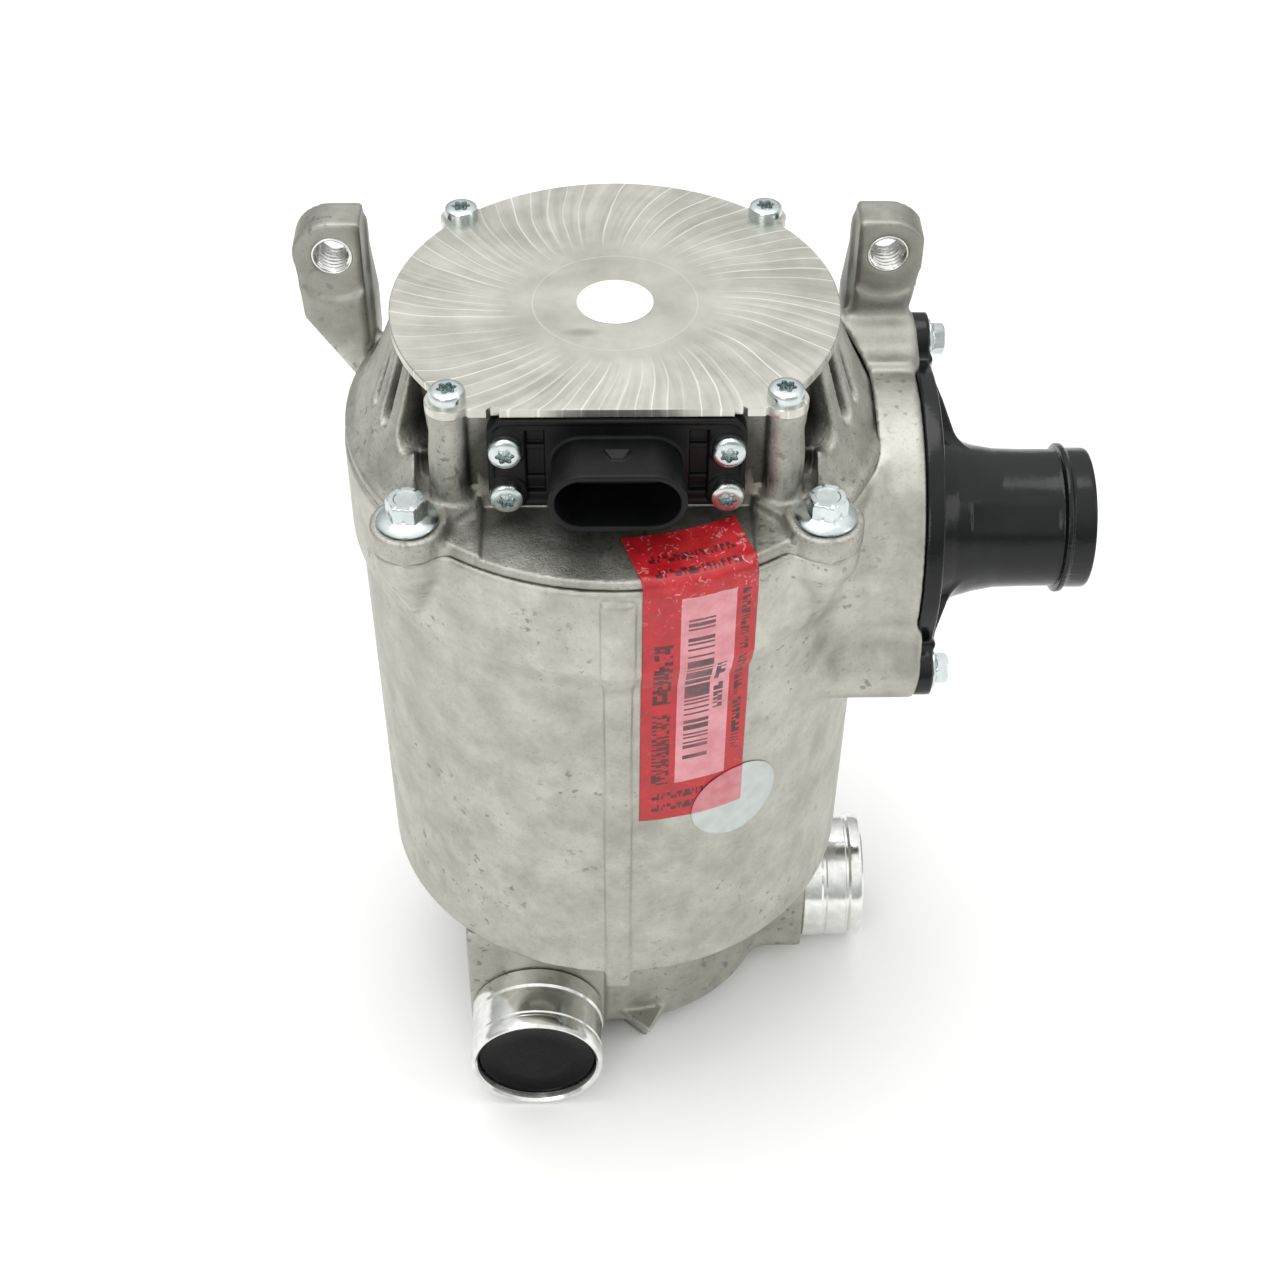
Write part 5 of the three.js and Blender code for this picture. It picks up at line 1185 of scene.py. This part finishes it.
# %% Intake spigot
def intake_spigot():
    face = PLENUM_FACE + INTAKE_GAP
    top = face + 4.6
    part = Casting((face, -44, PLENUM_LEVEL - 39), (INTAKE_MOUTH, 42, PLENUM_LEVEL + 45), 0.5)
    x, y, z = part.x, part.y, part.z
    level, axis_level = z - PLENUM_LEVEL, z - INTAKE_LEVEL
    part.fill(rod(y, level, x, 37.9, face, top, 0.7))
    for angle in LUG_ANGLES:
        out = y * math.cos(angle) + level * math.sin(angle)
        across = level * math.cos(angle) - y * math.sin(angle)
        part.fill(rod(out - LUG_CIRCLE, across, x, 6.9, face, top, 0.7), 4.0)
        rib = polygon(out, x,
                      [(15, face + 2), (37.2, face + 2), (37.2, top + 0.2), (27, top + 4.6), (15, top + 9)])
        part.fill(common(rib, np.abs(across) - 2.4, 0.6), 1.2)
    stations = [top - 1, top + 2.2, top + 6.4, top + 12.8, top + 18.3, top + 25.4, INTAKE_MOUTH - 8.7]
    neck = np.interp(x, stations, [25.0, 23.0, 21.0, 19.2, 18.2, 18.0, 17.9]).astype(np.float32)
    round_neck = rod(y, axis_level, x, neck, face + 1, INTAKE_MOUTH, 0.5)
    tilt = math.radians(39)
    flat = neck - 0.4 - (axis_level * math.sin(tilt) - y * math.cos(tilt))
    flat = np.maximum(flat, slab(x, top + 10, INTAKE_MOUTH - 9.5))
    part.fill(common(round_neck, -flat, 0.2), 3.0)
    part.fill(rod(y, axis_level, x, 19.5, INTAKE_MOUTH - 7.9, INTAKE_MOUTH - 6.1, 0.5), 0.4)
    part.fill(rod(y, axis_level, x, 18.25, INTAKE_MOUTH - 6.5, INTAKE_MOUTH, 0.7), 0.4)
    bore = np.interp(x, [face, top + 3, top + 14], [24.0, 18.4, 15.4]).astype(np.float32)
    part.cut(rod(y, axis_level, x, bore, face - 2, INTAKE_MOUTH + 2), 0.5)
    groove = np.maximum(rod(y, level, x, 36.3, face - 2, face + 1.4), 33.7 - np.hypot(y, level))
    part.cut(groove)
    for hole_y, hole_level in LUGS:
        part.cut(rod(y - hole_y, level - hole_level, x, SCREW_HOLE, face - 2, top + 2))
    return part


intake_mesh = intake_spigot().pour("intake_moulding", 80000)
piece("intake_moulding", intake_mesh, GLOSSY_NYLON, ["intake_spigot"])

# %% [markdown]
# ## The connector
# The connector is a satin black moulding. Round bosses under its four screws stand a little proud of
# the flange, deep pockets on both sides of the hood save material, and a small latch wedge sits on
# the hood. Flat tinned blades stand deep inside its mouth.

# %% Connector
CONNECTOR_FACE = -(FRONT_WALL + 4.3)
CONNECTOR_MOUTH = span("connector_shell")[0][1]
HOOD_WIDTH, HOOD_HEIGHT = 31.6, 16.2
PINS = numbered("terminal_pin", 4)


def stadium(u, v, width, height):
    """Distance to an oblong with fully rounded ends."""
    return np.hypot(np.maximum(np.abs(u) - (width - height) / 2, 0), v) - height / 2


def connector():
    back = CONNECTOR_FACE + 3.8
    part = Casting((-29.5, CONNECTOR_MOUTH, CONNECTOR_LEVEL - 12.3), (29.5, -35.2, CONNECTOR_LEVEL + 12.3),
                   0.26)
    x, y, level = part.x, part.y, part.z - CONNECTOR_LEVEL
    corner = np.hypot(np.maximum(np.abs(x) - 25.5, 0), np.maximum(np.abs(level) - 8.3, 0)) - 4.0
    part.fill(common(corner, slab(y, CONNECTOR_FACE + 0.7, back), 0.6))
    rim = np.maximum(corner, -(corner + 1.3))
    part.fill(common(rim, slab(y, CONNECTOR_FACE + 0.2, back), 0.4), 0.3)
    for seat_x, _, seat_level in connector_seats:
        boss = rod(x - seat_x, part.z - seat_level, y, 4.9, CONNECTOR_FACE, back, 0.5)
        part.fill(common(boss, corner, 0.3), 0.5)
    for side in (-1, 1):
        pocket = np.maximum(slab(x * side, 16.6, 20.8), slab(level, -8.6, 9.0))
        part.cut(common(pocket, y - back + 1.2, 0.4), 0.5)
        for low in (3.6, -5.4):
            bar = np.maximum(slab(x * side, 15, 21.5), slab(level, low, low + 1.2))
            part.fill(np.maximum(bar, slab(y, CONNECTOR_FACE + 1.4, back)), 0.3)
    grown = np.interp(y, [CONNECTOR_MOUTH, CONNECTOR_FACE], [0.0, -0.9]).astype(np.float32)
    hood = stadium(x, level, HOOD_WIDTH, HOOD_HEIGHT) - grown
    part.fill(common(hood, slab(y, CONNECTOR_MOUTH, back), 0.6), 0.9)
    part.fill(common(stadium(x, level, HOOD_WIDTH - 4.6, HOOD_HEIGHT - 3.6), slab(y, back - 1, -35.2), 0.4))
    part.cut(common(stadium(x, level, HOOD_WIDTH - 3.2, HOOD_HEIGHT - 3.2), y + 42.1, 0.4), 0.4)

    # The latch wedge on the hood: widest and highest at its back.
    share = np.clip((y - CONNECTOR_MOUTH - 6.4) / 3.2, 0, 1)
    wedge = np.maximum(np.abs(x) - 1.4 - 1.7 * share, level - HOOD_HEIGHT / 2 - 0.5 * share)
    wedge = np.maximum(wedge, slab(y, CONNECTOR_MOUTH + 6.4, CONNECTOR_MOUTH + 9.6))
    part.fill(np.maximum(wedge, 6.0 - level), 0.2)
    for seat_x, _, seat_level in connector_seats:
        part.cut(rod(x - seat_x, part.z - seat_level, y, SCREW_HOLE, CONNECTOR_FACE - 2, back + 1))
    for pin in PINS:
        part.cut(np.maximum(np.hypot(x - middle(pin)[0], level) - 1.05, slab(y, -43.5, -34)))
    return part


connector_mesh = connector().pour("connector_moulding", 120000)
piece("connector_moulding", connector_mesh, SATIN_PBT, ["connector_shell"])

# %% Terminal blades
def blade_rings(x):
    """A pin's outline along Y: round in the shell, then a flat blade with a chamfered tip."""
    tip = CONNECTOR_MOUTH + 9.5
    stations = [(-30.0, 0.85, 0.85), (-43.0, 0.85, 0.85), (-43.4, 0.8, 0.4), (tip + 1.2, 0.8, 0.4),
                (tip, 0.45, 0.15)]
    angles = np.linspace(0, math.tau, 24, endpoint=False)
    return [np.column_stack([x + half_x * np.cos(angles), np.full(24, y),
                             CONNECTOR_LEVEL + half_z * np.sin(angles)]) for y, half_x, half_z in stations]


def swept(name, stacks):
    """Closed bars, each from rings with the same number of points, with a cap on each end."""
    mesh = bpy.data.meshes.new(name)
    work = bmesh.new()
    for rings in stacks:
        rows = [[work.verts.new(Vector(p) * MM) for p in ring] for ring in rings]
        count = len(rows[0])
        for row, following in zip(rows, rows[1:]):
            for i in range(count):
                work.faces.new((row[i], row[(i + 1) % count], following[(i + 1) % count], following[i]))
        work.faces.new(rows[0])
        work.faces.new(rows[-1])
    bmesh.ops.recalc_face_normals(work, faces=work.faces)
    work.to_mesh(mesh)
    work.free()
    mesh.shade_smooth()
    mesh.set_sharp_from_angle(angle=math.radians(30))
    print(name, len(stacks), "bars,", len(mesh.polygons), "faces")
    return mesh


blades = swept("terminal_blades", [blade_rings(middle(pin)[0]) for pin in PINS])
piece("terminal_blades", blades, TINNED, PINS)

# %% [markdown]
# ## Threads in the ears
# Each ear is tapped for an M10 bolt. The thread is a true helix with a pitch of 1.5 mm: the bore's
# radius follows a triangle wave of the distance along it plus the share of a turn round it. It fades
# out over the first and last half millimetre, where the drill left a chamfer.

# %% Ear threads
def ear_thread(side, pitch=1.5, around=72, rows_per_pitch=8):
    """One closed sleeve: threaded inside, plain outside."""
    count = int(EAR_THICKNESS / pitch * rows_per_pitch)
    along = np.linspace(0.1, EAR_THICKNESS - 0.1, count)[:, None]
    angles = np.linspace(0, math.tau, around, endpoint=False)[None, :]
    phase = (along / pitch + angles / math.tau) % 1
    crest = 1 - np.abs(2 * phase - 1)
    fade = np.clip(np.minimum(along, EAR_THICKNESS - along) / 0.6, 0, 1)
    inner = 4.75 - 0.85 * crest * fade
    radius = np.vstack([inner, np.full((2, around), 5.1)])
    depth = np.vstack([np.broadcast_to(along, inner.shape), np.full((1, around), along[-1, 0]),
                       np.full((1, around), along[0, 0])])
    turn_to = np.broadcast_to(angles, radius.shape)
    hole_x = EAR_CENTRE + side * EAR_HALF_SPACING
    points = np.dstack([hole_x + radius * np.cos(turn_to), EAR_FACE + depth,
                        EAR_LEVEL + radius * np.sin(turn_to)])
    return points.reshape(-1, 3), grid_faces(len(radius), around, True, True)


left_points, left_quads = ear_thread(-1)
right_points, right_quads = ear_thread(1)
thread_mesh = mesh_from("ear_threads", np.vstack([left_points, right_points]),
                        np.vstack([left_quads, right_quads + len(left_points)]))
outwards(thread_mesh)
piece("ear_threads", thread_mesh, TURNED_ALONG_Y)

# %% [markdown]
# ## The seal label and the round stickers
# A red vinyl seal is stuck over the joint between the head and the motor housing: up the body, over
# the rim and in across the head's flange. It is one strip of small squares laid along that path. The
# strip stores its own millimetres across and along, and the print follows them: a pale panel with
# bars, and plain darker lines where a real seal would have words. It stretches and creases at the
# fold. A clear film disc covers its lower corner, and a plain white disc sits on the lid.

# %% The strip's path and mesh
LABEL_FROM, LABEL_TO = math.radians(-85.3), math.radians(-61.3)
LABEL_BOTTOM = PARTING - 79.5
LABEL_WIDTH = 27.4
FOLD = PARTING - 1 - LABEL_BOTTOM


def lay_uv(mesh, across, along):
    """Gives every point its place on the label as UV, in metres across and along it."""
    flat = np.dstack([across, along]).reshape(-1, 2)
    index = np.empty(len(mesh.loops), np.int32)
    mesh.loops.foreach_get("vertex_index", index)
    uv = mesh.uv_layers.new(name="UVMap")
    uv.data.foreach_set("uv", (flat[index] * MM).astype(np.float32).ravel())


def strip(name, across, path, lift, crease):
    """Squares on a path of (radius, height), between two angles, with UV."""
    radius, level = np.array(path).T
    lengths = np.concatenate([[0], np.cumsum(np.hypot(np.diff(radius), np.diff(level)))])
    rows, columns = 260, 64
    along = np.linspace(0, lengths[-1], rows)[:, None]
    share = np.linspace(0, 1, columns)[None, :]
    angle = np.broadcast_to(across[0] + (across[1] - across[0]) * share, (rows, columns))
    r = np.interp(along, lengths, radius) + np.zeros_like(angle)
    z = np.interp(along, lengths, level) + np.zeros_like(angle)
    steep = np.interp(along, lengths, np.gradient(level, lengths)) + np.zeros_like(angle)
    raised = lift + crease(share * LABEL_WIDTH, along)
    r = r + raised * np.clip(steep, 0, 1)
    z = z + raised * (1 - np.clip(steep, 0, 1))
    on_step = np.clip((r * np.cos(angle) - 30.0) / 1.6, 0, 1) * (1 - np.clip(steep, 0, 1))
    z = z + 0.85 * on_step
    # On the flange the strip runs straight in, so it keeps its width.
    inward = np.clip(radius.max() - r, 0, None) * (along > FOLD)
    straight_in = (across[0] + across[1]) / 2
    x = (r + inward) * np.cos(angle) - inward * np.cos(straight_in)
    y = (r + inward) * np.sin(angle) - inward * np.sin(straight_in)
    points = np.dstack([x, y, z]).reshape(-1, 3)
    mesh = mesh_from(name, points, grid_faces(rows, columns))
    lay_uv(mesh, np.broadcast_to(share * LABEL_WIDTH, angle.shape), np.broadcast_to(along, angle.shape))
    made = refined(mesh, ("SOLIDIFY", {"thickness": 0.12 * MM, "offset": -1.0}))
    made.shade_smooth()
    return made


def body_path(low, high, count=24):
    return [(float(body_radius(np.float32(z))), float(z)) for z in np.linspace(low, high, count)]


rim = float(body_radius(np.float32(PARTING - 2)))
label_path = body_path(LABEL_BOTTOM, PARTING - 1.4) + [(rim - 0.1, PARTING - 0.6), (rim - 0.3, PARTING + 1.2),
                                                       (rim - 0.7, PARTING + 2.0), (rim - 1.5, PARTING + 2.5),
                                                       (rim - 2.6, HEAD_SHELF - 0.72),
                                                       (rim - 5, HEAD_SHELF - 0.78),
                                                       (rim - 17, HEAD_SHELF - 0.78)]


def label_creases(u, v):
    near_fold = np.exp(-((v - FOLD) / 9) ** 2)
    wrinkle = np.sin(1.1 * u + 0.45 * v) * np.sin(0.37 * u - 0.9 * v + 1.0)
    bridge = 0.16 * np.exp(-((v - 47 - 0.15 * u) / 1.2) ** 2) * np.clip(u / 12 - 0.6, 0, 1)
    return 0.30 * near_fold * (0.5 + 0.5 * wrinkle) + bridge + 0.03 * np.sin(0.5 * u + 0.2 * v)


label_mesh = strip("seal_label", (LABEL_FROM, LABEL_TO), label_path, 0.28, label_creases)
print("label", len(label_mesh.polygons), "faces, fold at", round(FOLD, 1), "mm")

# %% The vinyl and its print
def within(tree, value, low, high):
    """1 where a value lies between two limits, else 0."""
    return output_of(tree, MATH,
                     [output_of(tree, MATH, [value, low], operation="GREATER_THAN"),
                      output_of(tree, MATH, [value, high], operation="LESS_THAN")], operation="MULTIPLY")


def printed_vinyl():
    """Red vinyl with a pale panel. Bars and lines are cut out of noises along the strip."""
    made, tree, shader = bare_material("printed_vinyl")
    uv = add(tree, "ShaderNodeUVMap", uv_map="UVMap").outputs["UV"]
    place = add(tree, "ShaderNodeSeparateXYZ", {0: uv}).outputs
    u = output_of(tree, MATH, [place["X"], 1000.0], operation="MULTIPLY")
    v = output_of(tree, MATH, [place["Y"], 1000.0], operation="MULTIPLY")

    wear = add(tree, "ShaderNodeTexNoise",
               {"Vector": uv, "Scale": per_metre(7), "Detail": 5.0, "Roughness": 0.6})
    red = output_of(tree, RAMP, [wear.outputs["Fac"]], stops=[(0.35, "#A01019"), (0.65, "#BC1D25")])
    pink = output_of(tree, RAMP, [wear.outputs["Fac"]], stops=[(0.35, "#C87C84"), (0.65, "#DB9AA0")])
    panel = output_of(tree, MATH, [within(tree, u, 8.8, 22.0), within(tree, v, 13.0, 77.0)],
                      operation="MULTIPLY")
    base = add(tree, "ShaderNodeMix", {"Factor": panel, "A": red, "B": pink},
               data_type="RGBA").outputs["Result"]

    # Bars across the strip: each half millimetre of its length is inked or not.
    step = output_of(tree, MATH, [output_of(tree, MATH, [v, 1.7], operation="MULTIPLY")], operation="FLOOR")
    inked = add(tree, "ShaderNodeTexWhiteNoise", {"W": step}, noise_dimensions="1D").outputs["Value"]
    bars = output_of(tree, MATH,
                     [output_of(tree, MATH, [inked, 0.4], operation="GREATER_THAN"),
                      output_of(tree, MATH, [within(tree, u, 10.6, 17.0), within(tree, v, 21.0, 72.0)],
                                operation="MULTIPLY")], operation="MULTIPLY")
    # Where words would stand, short dashes of chance length: across or along the strip.
    for along, u_low, u_high, v_low, v_high, size, gap in (
            (v, 2.8, 7.2, 13.0, 38.0, 0.62, 0.45), (v, 2.8, 7.2, 41.5, 63.0, 0.62, 0.45),
            (v, 18.0, 20.4, 37.0, 54.0, 0.5, 0.4), (v, 23.4, 25.6, 20.0, 76.0, 0.42, 0.5),
            (u, 3.0, 20.0, 3.2, 5.6, 0.5, 0.45), (u, 3.0, 24.0, 7.4, 9.8, 0.5, 0.45),
            (u, 3.5, 24.0, 83.0, 85.4, 0.5, 0.45), (u, 3.5, 24.0, 88.0, 90.4, 0.5, 0.45)):
        other = u if along is v else v
        low = u_low if along is v else v_low
        cell = add(tree, "ShaderNodeCombineXYZ",
                   {"X": output_of(tree, MATH, [output_of(tree, MATH, [along, size], operation="DIVIDE")],
                                   operation="FLOOR"),
                    "Y": output_of(tree, MATH,
                                   [output_of(tree, MATH,
                                              [output_of(tree, MATH, [other, low], operation="SUBTRACT"),
                                               1.2], operation="DIVIDE")], operation="FLOOR")})
        chance = add(tree, "ShaderNodeTexWhiteNoise", {"Vector": cell.outputs[0]}, noise_dimensions="3D")
        dash = output_of(tree, MATH, [chance.outputs["Value"], gap], operation="GREATER_THAN")
        area = output_of(tree, MATH, [within(tree, u, u_low, u_high), within(tree, v, v_low, v_high)],
                         operation="MULTIPLY")
        bars = output_of(tree, MATH, [bars, output_of(tree, MATH, [area, dash], operation="MULTIPLY")],
                         operation="MAXIMUM")
    rubbed = add(tree, MAP_RANGE,
                 {"Value": wear.outputs["Fac"], "From Min": 0.3, "From Max": 0.6, "To Min": 0.65,
                  "To Max": 0.9})
    ink = output_of(tree, MATH, [bars, rubbed.outputs["Result"]], operation="MULTIPLY")
    skin = add(tree, "ShaderNodeMix", {"Factor": ink, "A": base, "B": colour("#1E1214")}, data_type="RGBA")

    # White scuffs, strongest near the fold.
    scuff = add(tree, "ShaderNodeTexNoise",
                {"Vector": uv, "Scale": per_metre(2.2), "Detail": 4.0, "Distortion": 1.6})
    near = add(tree, MAP_RANGE,
               {"Value": v, "From Min": 66.0, "From Max": 82.0, "To Min": 0.08, "To Max": 0.6})
    worn = output_of(tree, MATH,
                     [output_of(tree, RAMP, [scuff.outputs["Fac"]],
                                stops=[(0.6, "#000000"), (0.68, "#FFFFFF")]), near.outputs["Result"]],
                     operation="MULTIPLY")
    final = add(tree, "ShaderNodeMix", {"Factor": worn, "A": skin.outputs["Result"], "B": colour("#E9A9AC")},
                data_type="RGBA")
    shader.inputs["IOR"].default_value = 1.53
    link_skin(tree, shader, final.outputs["Result"], wear.outputs["Fac"], (0.32, 0.5),
              scuff.outputs["Fac"], 0.35, 0.12)
    return made


PRINTED_VINYL = printed_vinyl()
piece("seal_label", label_mesh, PRINTED_VINYL)

# %% Clear film disc and paper disc
DISC_ANGLE, DISC_LEVEL, DISC_RADIUS = math.radians(-62.5), LABEL_BOTTOM + 0.5, 12.4


def film_disc(rings=24, around=96):
    """A thin disc laid on the body, with the label's UV."""
    distance = np.linspace(0.4, DISC_RADIUS, rings)[:, None]
    turn_to = np.linspace(0, math.tau, around, endpoint=False)[None, :]
    across, level = distance * np.cos(turn_to), distance * np.sin(turn_to)
    z = DISC_LEVEL + level
    surface = body_radius(z.astype(np.float32))
    angle = DISC_ANGLE + across / surface
    label_u = (angle - LABEL_FROM) / (LABEL_TO - LABEL_FROM) * LABEL_WIDTH
    over_label = np.clip(LABEL_WIDTH + 0.4 - label_u, 0, 0.8) / 0.8 * np.clip(z - LABEL_BOTTOM + 0.4, 0,
                                                                              0.8) / 0.8
    r = surface + 0.22 + 0.3 * over_label
    points = np.dstack([r * np.cos(angle), r * np.sin(angle), z]).reshape(-1, 3)
    mesh = mesh_from("film_disc", points, grid_faces(rings, around, closed_columns=True))
    fill = bmesh.new()
    fill.from_mesh(mesh)
    fill.verts.ensure_lookup_table()
    fill.faces.new([fill.verts[k] for k in range(around)])
    bmesh.ops.recalc_face_normals(fill, faces=fill.faces)
    fill.to_mesh(mesh)
    fill.free()
    lay_uv(mesh, label_u, z - LABEL_BOTTOM)
    made = refined(mesh, ("SOLIDIFY", {"thickness": 0.06 * MM, "offset": 0.0}))
    made.shade_smooth()
    return made


def frosted_film():
    """Frosted film. It shows what lies under it, paler: bare metal, or red vinyl."""
    made, tree, shader = bare_material("frosted_film")
    uv = add(tree, "ShaderNodeUVMap", uv_map="UVMap").outputs["UV"]
    place = add(tree, "ShaderNodeSeparateXYZ", {0: uv}).outputs
    over = output_of(tree, MATH,
                     [output_of(tree, MATH, [place["X"], LABEL_WIDTH * MM], operation="LESS_THAN"),
                      output_of(tree, MATH, [place["Y"], 0.0], operation="GREATER_THAN")],
                     operation="MULTIPLY")
    haze = add(tree, "ShaderNodeTexNoise", {"Vector": uv, "Scale": per_metre(5), "Detail": 4.0})
    metal = output_of(tree, RAMP, [haze.outputs["Fac"]], stops=[(0.35, "#B4BAB6"), (0.65, "#C3C8C4")])
    vinyl = output_of(tree, RAMP, [haze.outputs["Fac"]], stops=[(0.35, "#BC6670"), (0.65, "#CB858D")])
    skin = add(tree, "ShaderNodeMix", {"Factor": over, "A": metal, "B": vinyl}, data_type="RGBA")
    shader.inputs["IOR"].default_value = 1.5
    link_skin(tree, shader, skin.outputs["Result"], haze.outputs["Fac"], (0.35, 0.5))
    return made


# Matt coated paper: nearly white, with a faint fibre.
PAPER = clouded("coated_paper", ("#E4E4E1", "#EEEEEC"), 4.0, 0.0, (0.5, 0.65), 0.02, 0.4, 1.5)
FROSTED_FILM = frosted_film()
piece("film_disc", film_disc(), FROSTED_FILM)
disc_profile = [(0, 0, 0), (9.1, 0, 0), (9.2, 0.06, 0), (9.1, 0.14, 0), (0, 0.14, 0)]
paper = turned_pieces("paper_disc", turning_tree("disc_turning", disc_profile),
                      [(0, 0, LID_TOP + 0.01)], (0, 0, 1), PAPER, 96)
piece("paper_disc", paper, PAPER)

# %% [markdown]
# ## Nodes that stay as they are
# The motor, the bearings, the impeller and the boards hide inside the castings. Their frame meshes
# are exact already, so they only need a finish. Each takes the one for its material slot.

# %% Finishes by slot
MILLED_BLADES = clouded("milled_aluminium", ("#C9C9C5", "#DDDDD9"), 2.0, 1.0, (0.24, 0.36), 0.02, 0.5)
FINISHES = {
    "cast_aluminium": DIE_CAST, "machined_aluminium": MILLED_BLADES, "zinc_plated_steel": ZINC,
    "black_moulding": GLOSSY_NYLON, "connector_plastic": SATIN_PBT, "seal_rubber": RUBBER,
    "tinned_terminal": TINNED, "circuit_board": SOLDER_MASK, "capacitor_sleeve": SLEEVE,
    "lamination_steel": LAMINATIONS, "copper_winding": COPPER, "bearing_steel": BEARING_STEEL,
    "magnet_sleeve": MAGNET_SLEEVE,
}
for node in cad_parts.values():
    for material_slot in node.material_slots:
        material_slot.material = FINISHES[material_slot.material.name]
print("finishes set on", len(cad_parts), "frame nodes")
